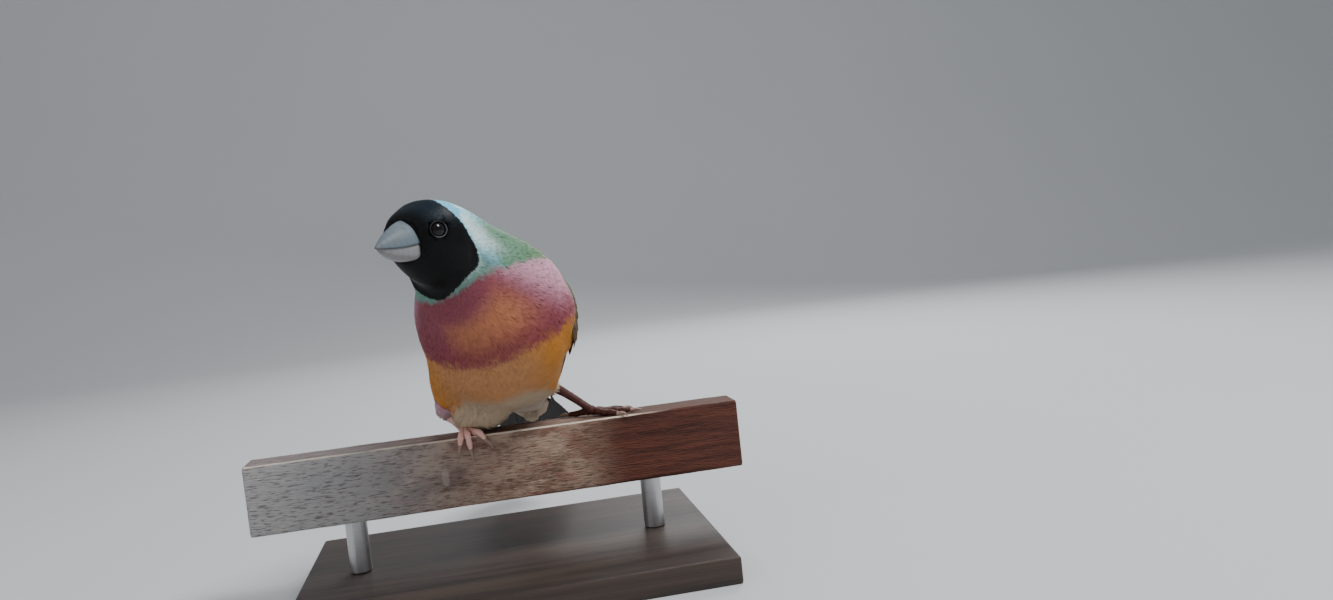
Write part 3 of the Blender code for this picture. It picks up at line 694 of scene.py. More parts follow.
def scatter(surface, first, last, step, side, jitter, draw):
    """Places of roots in staggered rings.

    The next ring is one step further along, and a ring holds its length over side roots. Where
    rows lie closer together than the ring's mean, some of its roots are left out by chance.
    """
    places, shares = [], []
    at, turn = first, 0
    while at < last:
        count = max(int(surface.ring_length(at) / side(at)), 6)
        share = (np.arange(count) + 0.5 * (turn % 2) + jitter * draw.uniform(-1, 1, count)) / count
        along = surface.read(surface.along, np.full(count, at), share)
        mean = along.mean()
        stray = draw.uniform(-0.5, 0.5, count) * step(at) / along * 2 * jitter
        kept = draw.uniform(0, 1, count) < along / mean * 1.15
        places.append((at + stray)[kept])
        shares.append(share[kept])
        at += step(at) / mean
        turn += 1
    return np.concatenate(places), np.concatenate(shares) % 1.0


def feathers(surface, at, share, sizes, barbs, sections, lie, draw, lean, ridge):
    """Contour feathers as fans of flat barbs that lie along the skin.

    A barb goes from its feather's root a share t of its length along the lie, and out sideways by
    its rank times the half width times a share that opens from FAN_ROOT to 1 with a power of t. It
    rises from the root's depth to the tip's height with one minus the square of 1 - t, and it has a
    low rib. Outer barbs are shorter by the square of their rank, so that the feather's end is round.
    The shading's normals are those of the barb's upper side, turned a little outwards at its edges.
    """
    count = len(at)
    depth, length, width, rise = [np.broadcast_to(size, count)[:, None, None] for size in sizes]
    rank = np.linspace(-1, 1, barbs)[None, :, None] + draw.uniform(-0.5, 0.5, (count, barbs, 1)) / barbs
    t = (np.arange(sections + 2) / (sections + 1))[None, None, :]
    t = t + draw.uniform(-0.02, 0.02, (count, 1, 1)) * t
    reach = length * (1 - BARB_SHORTER * rank ** 2) * draw.uniform(0.9, 1.08, (count, barbs, 1))
    down = reach * t
    across = width / 2 * rank * (FAN_ROOT + (1 - FAN_ROOT) * np.abs(t) ** FAN_POWER)
    thick = width / barbs * 0.95 * np.interp(t, *BARB_TAPER)
    turn = draw.normal(0, 1, (count, 1, 1)) * lean + draw.normal(0, 0.3, (count, barbs, 1)) * lean
    layer = draw.uniform(-0.01, 0.01, (count, 1, 1)) * depth
    height = (-depth + (depth + rise) * (1 - (1 - np.minimum(t, 1)) ** 2)
              - 0.05 * across ** 2 / width + layer)
    local = surface.read(surface.along, at, share)[:, None, None]
    around = surface.ring_length(at)[:, None, None]

    def laid(offset, lift):
        """Points at a sideways offset and a height over the barb's middle line."""
        beside = across + offset
        along_now = down * np.cos(turn) - beside * np.sin(turn)
        beside_now = down * np.sin(turn) + beside * np.cos(turn)
        return surface.point(at[:, None, None] + lie * along_now / local,
                             share[:, None, None] + beside_now / around, height + lift)

    middle = laid(0.0, 0.0)
    left, right = laid(-thick, -0.02), laid(thick, -0.02)
    crest = laid(0.0, ridge)
    rows = np.stack([left, crest, right], axis=3)[:, :, 1:-1]
    body = rows.reshape(count, barbs, sections * 3, 3)
    points = np.concatenate([middle[:, :, :1], body, middle[:, :, -1:]], axis=2)
    beside = (right - left)[:, :, 1:-1]
    beside = beside / np.linalg.norm(beside, axis=-1, keepdims=True)
    upward = np.cross(beside, np.gradient(middle, axis=2)[:, :, 1:-1])
    upward *= np.sign(np.sum(upward * surface.read(surface.normals, at, share)[:, None, None]))
    upward = upward / np.linalg.norm(upward, axis=-1, keepdims=True)
    facing = np.stack([upward - beside * BARB_ROUND, upward, upward + beside * BARB_ROUND], axis=3)
    facing = facing.reshape(count, barbs, sections * 3, 3)
    facing = np.concatenate([upward[:, :, :1], facing, upward[:, :, -1:]], axis=2).reshape(-1, 3)
    size = sections * 3 + 2
    faces = []
    for corner in range(3):
        after = (corner + 1) % 3
        faces.append((0, 1 + corner, 1 + after))
        end = 1 + (sections - 1) * 3
        faces.append((size - 1, end + after, end + corner))
        for section in range(sections - 1):
            a, b = 1 + section * 3 + corner, 1 + section * 3 + after
            faces.append((a, a + 3, b + 3))
            faces.append((a, b + 3, b))
    faces = np.array(faces)[None] + (np.arange(count * barbs) * size)[:, None, None]
    tees = np.concatenate([t[:, :, :1], np.repeat(t[:, :, 1:-1], 3, axis=2), t[:, :, -1:]], axis=2)
    tees = np.broadcast_to(tees, (count, barbs, size))
    ranks = np.broadcast_to(rank, (count, barbs, size))
    seeds = np.broadcast_to(draw.uniform(0, 1, (count, 1, 1)), (count, barbs, size))
    seen = at[:, None, None] + lie * (0.4 + 0.55 * tees) * reach / local
    sideways = width / 2 * ranks * tees / around
    marks = {key: value.reshape(-1, 3)
             for key, value in place_marks(seen, share[:, None, None] + sideways).items()}
    marks["barb"] = np.stack([seeds, tees, ranks], -1).reshape(-1, 3)
    marks["facing"] = facing
    root = np.stack([(at - surface.first) / (surface.last - surface.first), share], -1)
    inside = np.stack([tees, ranks / 2 + 0.5], -1)
    patches = root[:, None, None] * 0.99 + inside * PATCH_SIDE + 0.002
    shape = outward(points.reshape(-1, 3), [faces.reshape(-1, 3)])
    return (*shape, marks), patches.reshape(-1, 2)


def between(table, at):
    """A smooth reading of a short table of (place, value) pairs."""
    places, values = np.array(table).T
    slopes = np.gradient(values, places)
    low = np.clip(np.searchsorted(places, at, side="right") - 1, 0, len(places) - 2)
    width = places[low + 1] - places[low]
    t = np.clip((at - places[low]) / width, 0, 1)
    return ((1 + 2 * t) * (1 - t) ** 2 * values[low] + t * (1 - t) ** 2 * width * slopes[low]
            + t * t * (3 - 2 * t) * values[low + 1] + t * t * (t - 1) * width * slopes[low + 1])


def bump_between(value, low, rise, fall, high):
    """0 outside low to high, 1 from rise to fall, with straight slopes between."""
    return np.interp(value, (low, rise, fall, high), (0.0, 1.0, 1.0, 0.0))


def zone_share(zone, at, turn):
    """How far a place is inside a zone of rows and degrees, from 0 to 1."""
    rows, degrees = zone
    return bump_between(at, *rows) * bump_between(np.degrees(turn), *degrees)


def rounded(height, share):
    """A height times the smooth step of a share, which is 3 times its square less 2 times its cube."""
    return height * share * share * (3 - 2 * share)


def thigh_distance(points, side):
    """Distance from points to the surface of the upper thigh, a rod whose radius changes along it."""
    root = np.array(THIGH_ROOT[side]) + BIRD_ORIGIN
    axis = np.array(ANKLE[side]) + BIRD_ORIGIN - root
    share = np.clip(np.sum((points - root) * axis, axis=-1) / np.dot(axis, axis), 0, DRAPE_END)
    radius = np.interp(share, np.linspace(0, 1, 4), THIGH_RADII[side])
    return np.linalg.norm(points - root - share[..., None] * axis, axis=-1) - radius


def body_swell(base, normal, at, turn, lift):
    """How high the coat stands, with its lifted zones and its drape over the thighs.

    It stands higher over the bend of each wing, on the nape and on the vent. Over a thigh the height
    h solves h = lift + k log(1 + e to the power (h - d) / k), the smooth union of two distances,
    where d is the distance to the thigh at that height.
    """
    lift = lift + rounded(BEND_LIFT, zone_share(BEND_ZONE, at, turn))
    nape = bump_between(at, *NAPE_ROWS) * np.clip(np.cos(turn - 0.5), 0.0, 1.0) ** 2
    lift = lift + NAPE_LIFT * nape + rounded(VENT_HANG, zone_share(VENT_ZONE, at, turn))
    for side in ("right", "left"):
        height = lift
        for _ in range(DRAPE_PASSES):
            distance = thigh_distance(base + normal * np.asarray(height)[..., None], side)
            rise = DRAPE_EASE * np.log1p(np.exp(np.clip((height - distance) / DRAPE_EASE, -30, 6)))
            height = lift + np.minimum(rise, DRAPE_MOST)
        lift = height
    return lift


def body_surface():
    """The finch's body as a surface."""
    return Surface(body_point, *SKIN_ROWS, swell=body_swell)


def thigh_surface(side):
    """A thigh as a surface: rings round the line from its root to the ankle."""
    root = np.array(THIGH_ROOT[side]) + BIRD_ORIGIN
    ankle = np.array(ANKLE[side]) + BIRD_ORIGIN
    axis = (ankle - root) / np.linalg.norm(ankle - root)
    beside, above = square_to(axis)
    radii = THIGH_RADII[side]

    def point_at(at, turn):
        radius = np.interp(at, np.linspace(0, 1, len(radii)), radii)[..., None]
        ring = beside * np.cos(turn)[..., None] + above * np.sin(turn)[..., None]
        return root + (ankle - root) * at[..., None] + radius * ring

    return Surface(point_at, 0.0, 1.0, 60, 90)


def thigh_marks(at, side):
    """Marks that paint a thigh: the right one from flank to mauve, the left one as the vent."""
    if side == "right":
        row, cosine = np.interp(at, THIGH_TINT, (5.2, 7.4)), np.interp(at, THIGH_TINT, (-0.45, 0.2))
    else:
        row, cosine = np.full_like(at, 5.2), np.full_like(at, -0.87)
    return border_marks(row, cosine, np.zeros_like(at))


def coat_paint(name, skin=False):
    """Feathers of the body: bands of colour between borders, each feather darker at its root as painted
    shade, and the skin under them darker still as painted shade.
    """
    colours = bpy.context.scene.finch_colours
    paint = Paint(name, {"Specular IOR Level": 0.18, "Sheen Weight": 0.04, "Sheen Roughness": 0.5})
    at, cosine, sine = paint.mark("place")
    mask, breast, belly = paint.mark("bands")
    seed, reach, rank = paint.mark("barb")
    stray = (seed - 0.5) * 0.2
    behind = stray - mask

    # Back, rump and side of the neck
    upper = paint.mix(paint.step(at + stray, 6.4, 8.0), colours.green, colours.neck_green)
    upper = paint.mix(paint.step(at + stray, 4.6, 3.8), upper, colours.rump)

    # Collar behind the mask, with its pale patch and the pale line along the mask's border
    collar = paint.mix(paint.step(cosine, -0.2, 0.5), colours.teal, colours.sky)
    later = behind - paint.step(cosine, 0.5, 0.8) * 0.7
    upper = paint.mix(paint.step(later, 1.1, 0.4), upper, collar)
    sooner = behind + paint.step(cosine, 0.45, 0.1) * 0.7
    patch = paint.step(cosine, -0.02, 0.25) * paint.step(later, 0.0, 0.34)
    patch = patch * paint.step(sooner, 1.75, 0.5)
    upper = paint.mix(patch, upper, colours.pale)
    line = paint.step(behind, 0.16, 0.08) * paint.step(cosine, -0.95, -0.4) * 0.3
    upper = paint.mix(line, upper, colours.pale)

    # Breast: purple below and a lighter pinkish purple on its upper sides, partly its own colour and partly
    # a painted highlight from above, a warm middle and a deep band over the belly
    chest = paint.mix(paint.step(cosine - sine * 0.1, -0.5, 0.3), colours.purple, colours.mauve_and_highlight)
    front = cosine * math.cos(WARM_TURN) - sine * math.sin(WARM_TURN)
    middle = paint.step(at, 6.7, 7.6) * paint.step(at, 8.7, 7.8) * paint.step(front, -0.55, -0.98)
    chest = paint.mix(middle * 0.9, chest, colours.warm)
    chest = paint.mix(paint.step(belly + stray, 1.0, 0.1) * 0.75, chest, colours.deep)
    below = paint.step(cosine - (at - 5.6) * 0.5, 0.6, 0.45)
    colour = paint.mix(paint.step(breast + stray, 0.13, -0.13) * below, upper, chest)

    # Belly, browner in the middle, and the cream vent
    lower = paint.mix(paint.step(cosine, -0.5, -0.95) * 0.8, colours.yellow, colours.belly)
    vent = paint.step(belly + ((cosine + 0.9).most(0.0) * 4.0).least(1.4) + stray, -1.0, -1.5)
    lower = paint.mix(vent, lower, colours.cream)
    under = paint.step(belly + stray * 1.4, 0.15, -0.15) * paint.step(cosine, 0.45, 0.25)
    colour = paint.mix(under, colour, lower)

    # Black face with a painted blue sheen on top of the crown, and each feather darker at its root as
    # painted shade where the feathers ahead lie over it
    face = paint.step(mask + stray * 0.35, -0.02, 0.03)
    # Painted sheen: the black turns bluer and lighter on top of the crown
    top = paint.step(cosine, 0.2, 0.8) * paint.step(at, 12.6, 11.0)
    crown = paint.mix(top, colours.mask, colours.gloss)
    colour = paint.mix(face, colour, crown)
    fine = paint.noise(paint.place(), 900.0, 2.0)
    if skin:
        # The skin takes the coat's colours at under half their brightness: painted shade under the feathers
        shade = 0.45 + fine * 0.2
    else:
        # Each feather darker towards its root: painted shade where the feathers ahead lie over it
        shade = paint.step(reach, 0.0, 0.7) * 0.32 + 0.7
        shade = shade + (seed - 0.5) * 0.1 + abs(rank) * 0.03 + (fine - 0.5) * 0.08
    paint.feed("Base Color", paint.dim(colour, shade))
    paint.feed("Roughness", 0.62 - face * 0.2 + (fine - 0.5) * 0.1)
    return paint.material


def horn_paint(name, colour):
    """Bill horn: faint growth lines and a satin shine."""
    paint = Paint(name, {"Specular IOR Level": 0.35, "Subsurface Weight": 0.08,
                         "Subsurface Radius": (0.0012, 0.0009, 0.0008), "Subsurface Scale": 1.0})
    along, _, high = paint.mark("horn")
    cloud = paint.noise(paint.place(), 260.0, 4.0, 0.6)
    line = (along * 46.0 + cloud * 3.0).wave() * 0.5 + 0.5
    tint = paint.mix(paint.step(along, 0.75, 1.0) * 0.35, colour, tone(92, 88, 90))
    shade = 0.78 + cloud * 0.4 + line * 0.05 + paint.step(high, 0.2, 0.9) * 0.06
    paint.feed("Base Color", paint.dim(tint, shade))
    paint.feed("Roughness", 0.42 + cloud * 0.16)
    paint.bump(line * 0.4 + cloud, 0.00006)
    return paint.material


def even_grid(ends, counts):
    """Places between two ends and shares of the way round, for each point of a tube's rings."""
    rings, sides = counts
    return np.meshgrid(np.linspace(*ends, rings), np.arange(sides) / sides, indexing="ij")


class FINCH_OT_skin(bpy.types.Operator):
    """Make the one skin of head, neck, torso and thighs."""
    bl_idname = "finch.skin"
    bl_label = "Skin"

    def execute(self, context):
        surface = body_surface()
        at, share = even_grid(SKIN_ROWS, SKIN_GRID)
        depth = plumage(PLUMAGE_DEPTH, at) + SKIN_SINK
        points, faces = tube(surface.point(at, share, -depth))
        marks = place_marks(np.append(at.ravel(), SKIN_ROWS), np.append(share.ravel(), (0.5, 0.5)))
        marks["barb"] = np.full((len(points), 3), 0.5)
        shapes = [(points, faces, marks)]
        for side in ("right", "left"):
            thigh = thigh_surface(side)
            at, share = even_grid((0, THIGH_END[side]), THIGH_GRID)
            points, faces = tube(thigh.point(at, share, np.full(at.shape, -THIGH_SINK)))
            marks = thigh_marks(np.append(at.ravel(), (0.0, 1.0)), side)
            marks["barb"] = np.full((len(points), 3), 0.5)
            shapes.append((points, faces, marks))
        build_piece("skin", merged(shapes), coat_paint("skin_under_feathers", True),
                    ("torso", "neck", "head", "thigh_right", "thigh_left"))
        return {"FINISHED"}


def clear_of_eyes(surface, at, share, length):
    """Which feathers stay off the eyes: their root, middle and tip are outside the clearing."""
    kept = np.ones(len(at), bool)
    local = surface.read(surface.along, at, share)
    for side in (1, -1):
        place, look = eye_axis(side)
        for part in (0.0, 0.5, 1.0):
            spot = surface.point(at - part * length / local, share, np.zeros(len(at))) - place
            beside = spot - np.sum(spot * look, axis=1, keepdims=True) * look
            near = np.linalg.norm(beside, axis=1) < EYE_CLEARING
            kept &= ~(near & (np.sum(spot * look, axis=1) > -1.0))
    return kept


def outside_wings(surface, at, share):
    """Which roots are neither under the middle of a folded wing nor under its bend."""
    turn = np.degrees(surface.turn(at, share))
    turn = np.where(turn > 180, 360 - turn, turn)
    part = (WING_ROWS[0] - at) / (WING_ROWS[0] - WING_ROWS[1])
    inside = (part > WING_HIDES[0]) & (part < WING_HIDES[1])
    inside &= turn > between(WING_UPPER_EDGE, part) + UPPER_MARGIN
    inside &= turn < between(WING_LOWER_EDGE, part) - np.interp(part, *LOWER_MARGIN)
    rows, degrees = BEND_ROOTS
    inside |= (at > rows[0]) & (at < rows[1]) & (turn > degrees[0]) & (turn < degrees[1])
    return ~inside


def grow(name, surface, roots, sizes, fan, lie, draw, paint, loose=1.0, marks=None):
    """Grow a piece of feathers at its roots; fan is how many barbs and sections a feather has."""
    settings = bpy.context.scene.finch_plumage
    shape, patches = feathers(surface, *roots, sizes, *fan, lie, draw, settings.lean * loose,
                              settings.barb_ridge / MM)
    if marks:
        shape[2].update(marks(shape[2]["place"]))
    build_piece(name, shape, paint, (), patches)


class FINCH_OT_coat(bpy.types.Operator):
    """Grow the feathers of the head, neck and body."""
    bl_idname = "finch.coat"
    bl_label = "Coat"

    def execute(self, context):
        settings = context.scene.finch_plumage
        draw = np.random.default_rng(settings.seed)
        surface = body_surface()
        paint = coat_paint("coat_feathers")
        for name, (first, last, barbs, sections, slot) in COAT_PIECES.items():
            at, share = scatter(surface, first, last,
                                lambda row: plumage(PLUMAGE_STEP, row) / settings.density,
                                lambda row: plumage(PLUMAGE_SIDE, row) / settings.density, 0.28, draw)
            length = plumage(PLUMAGE_LENGTH, at)
            kept = clear_of_eyes(surface, at, share, length) & outside_wings(surface, at, share)
            at, share, length = at[kept], share[kept], length[kept]
            sizes = (plumage(PLUMAGE_DEPTH, at), length, plumage(PLUMAGE_WIDTH, at),
                     draw.uniform(0.14, 0.19, len(at)))
            grow(name, surface, (at, share), sizes, (barbs, sections), -1.0, draw, paint)
        return {"FINISHED"}


class FINCH_OT_vent(bpy.types.Operator):
    """Grow the long loose feathers that hang from the vent between the legs."""
    bl_idname = "finch.vent"
    bl_label = "Vent"

    def execute(self, context):
        draw = np.random.default_rng(context.scene.finch_plumage.seed + 5)
        surface = body_surface()
        at, share = scatter(surface, *VENT_ROWS, lambda row: 1.5, lambda row: 1.3, 0.35, draw)
        turn = surface.turn(at, share)
        kept = (np.degrees(turn) > VENT_TURNS[0]) & (np.degrees(turn) < VENT_TURNS[1])
        at, share, turn = at[kept], share[kept], turn[kept]
        droop = zone_share(DROOP_ZONE, at, turn)
        length = draw.uniform(5.5, 7.0, len(at))
        sizes = (0.9, length, 2.8, 0.2 + 0.9 * droop * draw.uniform(0.6, 1.0, len(at)))
        grow("coat_vent", surface, (at, share), sizes, (13, 4), -1.0, draw, coat_paint("vent_feathers"),
             1.2)
        return {"FINISHED"}


class FINCH_OT_thigh_coat(bpy.types.Operator):
    """Grow the feathers of the thighs."""
    bl_idname = "finch.thigh_coat"
    bl_label = "Thigh coat"

    def execute(self, context):
        draw = np.random.default_rng(context.scene.finch_plumage.seed + 1)
        paint = coat_paint("thigh_feathers")
        for side in ("right", "left"):
            surface = thigh_surface(side)
            at, share = scatter(surface, 0.02, THIGH_END[side] - 0.03, lambda row: 1.15,
                                lambda row: 1.1, 0.3, draw)
            sizes = (0.65, np.interp(at, (0, 1), (5.0, 2.0)), np.interp(at, (0, 1), (2.4, 1.2)),
                     0.1 * draw.uniform(0, 2, len(at)))
            grow("thigh_coat_" + side, surface, (at, share), sizes, (7, 3), 1.0, draw, paint,
                 1.0, lambda place: thigh_marks(place[:, 0], side))
        return {"FINISHED"}


def vane(spine, outside, half_width, outline, thick, rib, camber, seed, tint):
    """A flight, covert or tail feather: a thin plate along its spine.

    Across the spine its height is camber times the half width times one minus the square of the
    offset, plus a rib along the shaft. The lower face is the upper one moved in by the thickness.
    """
    steps = len(spine)
    along = np.gradient(spine, axis=0)
    side = np.cross(along, outside)
    side /= np.linalg.norm(side, axis=1, keepdims=True)
    normal = np.cross(side, along)
    normal /= np.linalg.norm(normal, axis=1, keepdims=True)
    t = np.linspace(0, 1, steps)
    offset = np.linspace(-1, 1, VANE_COLUMNS)
    offset = np.sign(offset) * np.abs(offset) ** 1.2
    half = half_width * np.interp(t, *outline)
    wave = 1 + EDGE_WAVE * np.sin(t * EDGE_PACE + seed * 40)[:, None] * np.abs(offset) ** 3
    beside = half[:, None] * offset * wave
    shaft = rib * np.exp(-(beside / SHAFT_WIDTH) ** 2) * (1 - SHAFT_LOSS * t[:, None])
    lift = camber * half[:, None] * (1 - offset ** 2) + shaft
    top = spine[:, None] + side[:, None] * beside[..., None] + normal[:, None] * lift[..., None]
    wall = thick * (1 - TIP_LOSS * t)[:, None] * (1.0 - EDGE_LOSS * np.abs(offset) ** 2) + LEAST_WALL
    under = top - normal[:, None] * wall[..., None]
    points, faces = tube(np.concatenate([top, under[:, ::-1]], axis=1))
    across, share = [np.concatenate([face, face[:, ::-1]], axis=1).ravel()
                     for face in (beside, np.tile(offset, (steps, 1)))]
    length = np.concatenate([[0], np.cumsum(np.linalg.norm(np.diff(spine, axis=0), axis=1))])
    run, tees = np.repeat(length, VANE_COLUMNS * 2), np.repeat(t, VANE_COLUMNS * 2)
    ends = ([0, 0], [t[0], t[-1]], [length[0], length[-1]])
    across, share = np.append(across, ends[0]), np.append(share, ends[0])
    tees, run = np.append(tees, ends[1]), np.append(run, ends[2])
    marks = {"vane": np.stack([np.full(len(points), seed), tees, share], -1),
             "web": np.stack([np.full(len(points), tint), run, across], -1)}
    return points, faces, marks


def vane_patches(shapes):
    """Atlas places: each vane has its own cell of a square grid, along and across it."""
    patches = []
    for number, shape in enumerate(shapes):
        _, t, offset = shape[2]["vane"].T
        column, row = number % ATLAS_CELLS, number // ATLAS_CELLS
        patches.append(np.stack([(column + 0.1 + 0.8 * (offset / 2 + 0.5)) / ATLAS_CELLS,
                                 (row + 0.1 + 0.8 * t) / ATLAS_CELLS], -1))
    return np.concatenate(patches)


def wing_shapes(side, draw):
    """Every vane of a folded wing, tier by tier."""
    shapes = []
    t = np.linspace(0, 1, 22)
    for count, root_a, root_b, tip_a, tip_b, half_width, lifts_a, lifts_b, tints in WING_TIERS:
        outline = FLIGHT_OUTLINE if tints[0] < 0.5 else COVERT_OUTLINE
        for i in range(count):
            share = i / (count - 1)
            root = blend(np.array(root_a), np.array(root_b), share)
            tip = blend(np.array(tip_a), np.array(tip_b), share) + draw.uniform(-0.04, 0.04, 2)
            rows = blend(root[0], tip[0], t)
            turns = np.radians(blend(root[1], tip[1], t) - WING_TUCK[side]) * side
            lifts = blend(blend(*lifts_a, share), blend(*lifts_b, share), t)
            spine = body_point(rows, turns, lifts)
            outside = body_point(rows, turns, lifts + 1.0) - spine
            shapes.append(vane(spine, outside, half_width, outline, *WING_PLATE, draw.uniform(0, 1),
                               blend(*tints, share)))
    return shapes


def wing_web(side):
    """The wing's thin body on the flank between its two edges."""
    part = np.linspace(0, 1, 30)[:, None]
    across = np.linspace(0, 1, 20)[None, :]
    rows = blend(*WING_ROWS, part)
    upper, lower = between(WING_UPPER_EDGE, part), between(WING_LOWER_EDGE, part)
    turns = np.radians(blend(upper, lower, across)) * side
    thick = (1.0 - 0.5 * part) * (0.4 + 0.6 * np.sin(np.pi * across) ** 0.5)
    thick = thick * np.clip(part / 0.25, 0.0, 1.0)
    inner = body_point(rows, turns, 0.2)
    outer = body_point(rows, turns, 0.2 + thick)
    points, faces = tube(np.concatenate([inner, outer[:, ::-1]], axis=1))
    marks = {"vane": np.full((len(points), 3), 0.5), "web": np.tile((0.9, 0.0, 0.0), (len(points), 1))}
    return points, faces, marks


def vane_paint(name):
    """Vanes: barbs slanting from a shaft, green coverts, brown-black flight feathers, black tail."""
    colours = bpy.context.scene.finch_colours
    paint = Paint(name, {"Specular IOR Level": 0.2})
    seed, t, offset = paint.mark("vane")
    tint, run, across = paint.mark("web")
    barbs = ((run - abs(across) * 1.2) * 21.0).wave() * 0.5 + 0.5
    patchy = paint.noise(paint.place(), 500.0, 3.0)
    paler = paint.step(t, 0.5, 0.95) * 0.35 + (seed - 0.5) * 0.3
    covert = paint.mix(paler, colours.green, tone(128, 150, 70))
    covert = paint.mix(paint.step(tint, 0.9, 0.65) * 0.92, covert, tone(104, 76, 50))
    edge = paint.step(abs(offset), 0.72, 0.95)
    flight = paint.mix(edge * 0.7, colours.flight, tone(120, 122, 74))
    colour = paint.mix(paint.step(tint + (1 - edge) * -0.25, 0.1, 0.45), flight, covert)
    colour = paint.mix(paint.step(tint, 1.5, 1.6), colour, colours.tail)
    shaft = paint.step(abs(across), 0.2, 0.06)
    shade = 0.8 + barbs * 0.14 + (patchy - 0.5) * 0.3 + (seed - 0.5) * 0.14 - shaft * 0.2
    paint.feed("Base Color", paint.dim(colour, shade))
    paint.feed("Roughness", 0.56 + barbs * 0.12)
    paint.bump(barbs + shaft, 0.00007)
    return paint.material


class FINCH_OT_wings(bpy.types.Operator):
    """Make the two folded wings."""
    bl_idname = "finch.wings"
    bl_label = "Wings"

    def execute(self, context):
        draw = np.random.default_rng(context.scene.finch_plumage.seed + 2)
        paint = vane_paint("wing_vanes")
        for side, name in ((1, "left"), (-1, "right")):
            shapes = [wing_web(side)] + wing_shapes(side, draw)
            build_piece("wing_vanes_" + name, merged(shapes), paint, ("wing_" + name,),
                        vane_patches(shapes))
        return {"FINISHED"}


def tail_vane(start, turn, height, length, outline, seed):
    """A feather of the tail: where its root is beside and above the middle, and its fan angle."""
    centre, forward, left, up, _ = body_frame(np.array(TAIL_ROW))
    away = -forward * math.cos(math.radians(turn)) + left * math.sin(math.radians(turn))
    places = np.linspace(0, 1, TAIL_POINTS)[:, None]
    root = centre - forward * 0.2 + left * start + up * height
    spine = root + away * places * length - up * TAIL_DROOP * places ** 2
    return vane(spine, np.broadcast_to(up, spine.shape), TAIL_HALF_WIDTH, outline, *TAIL_PLATE, seed,
                TAIL_TINT)


class FINCH_OT_tail(bpy.types.Operator):
    """Make the tail: twelve feathers stepped below the middle pair, over a short closed root."""
    bl_idname = "finch.tail"
    bl_label = "Tail"

    def execute(self, context):
        draw = np.random.default_rng(context.scene.finch_plumage.seed + 3)
        shapes = []
        for pair, length in enumerate(TAIL_LENGTHS):
            step = pair + 0.5
            for side in (1, -1):
                height = TAIL_HEIGHT - TAIL_PAIR_STEP * pair + TAIL_SIDE_STEP * side
                outline = PIN_OUTLINE if pair == 0 else TAIL_OUTLINE
                shapes.append(tail_vane(side * TAIL_ROOT_STEP * step, side * TAIL_FAN_STEP * step,
                                        height, length, outline, draw.uniform(0, 1)))
        centre, forward, left, up, _ = body_frame(np.array(TAIL_ROW))
        part, turns = np.linspace(0, 1, 12), np.linspace(0, TURN, 32, endpoint=False)
        wide, tall = np.interp(part, *STUB_WIDTHS), np.interp(part, *STUB_HEIGHTS)
        middle = centre - forward * (part * TAIL_STUB)[:, None] - up * 0.2
        rings = (middle[:, None] + left * (wide[:, None] * np.sin(turns))[..., None]
                 + up * (tall[:, None] * np.cos(turns))[..., None])
        points, faces = tube(rings)
        marks = {"vane": np.full((len(points), 3), 0.5),
                 "web": np.tile((TAIL_TINT, 0.0, 1.0), (len(points), 1))}
        shapes.append((points, faces, marks))
        build_piece("tail_vanes", merged(shapes), vane_paint("tail_vanes"), ("tail",),
                    vane_patches(shapes))
        return {"FINISHED"}


def tail_surface():
    """The root of the tail as a surface, on which its coverts lie, at runs from the body back."""
    centre, forward, left, up, _ = body_frame(np.array(TAIL_ROW))

    def point_at(at, turn):
        wide = np.interp(at, *COVERT_WIDTHS)[..., None]
        tall = np.interp(at, *COVERT_HEIGHTS)[..., None]
        middle = centre - forward * (at * 8.0 - 3.0)[..., None] - up * (0.2 + 0.1 * at[..., None])
        return middle + left * (wide * np.sin(turn)[..., None]) + up * (tall * np.cos(turn)[..., None])

    return Surface(point_at, 0.0, 2.2, 60, 120)


class FINCH_OT_tail_coverts(bpy.types.Operator):
    """Grow the coverts that lie over and under the root of the tail."""
    bl_idname = "finch.tail_coverts"
    bl_label = "Tail coverts"

    def execute(self, context):
        draw = np.random.default_rng(context.scene.finch_plumage.seed + 4)
        surface = tail_surface()
        at, share = scatter(surface, 0.02, 1.25, lambda row: 1.3, lambda row: 1.2, 0.3, draw)
        hang = np.maximum(-np.cos(TURN * share), 0.0) ** 14 * np.interp(at, (0.3, 0.8), (0.0, 1.5))
        sizes = (np.interp(at, (0, 1.3), (0.9, 0.5)), 7.5, 2.6, 0.25 + hang)

        def as_rump(place):
            """The marks of one row behind the rump, at each feather's own turn."""
            return place_marks(np.full(len(place), COVERT_MARK_ROW), np.arccos(place[:, 1]) / TURN)

        grow("tail_coverts", surface, (at, share), sizes, (9, 3), 1.0, draw,
             coat_paint("tail_covert_feathers"), 0.6, as_rump)
        return {"FINISHED"}


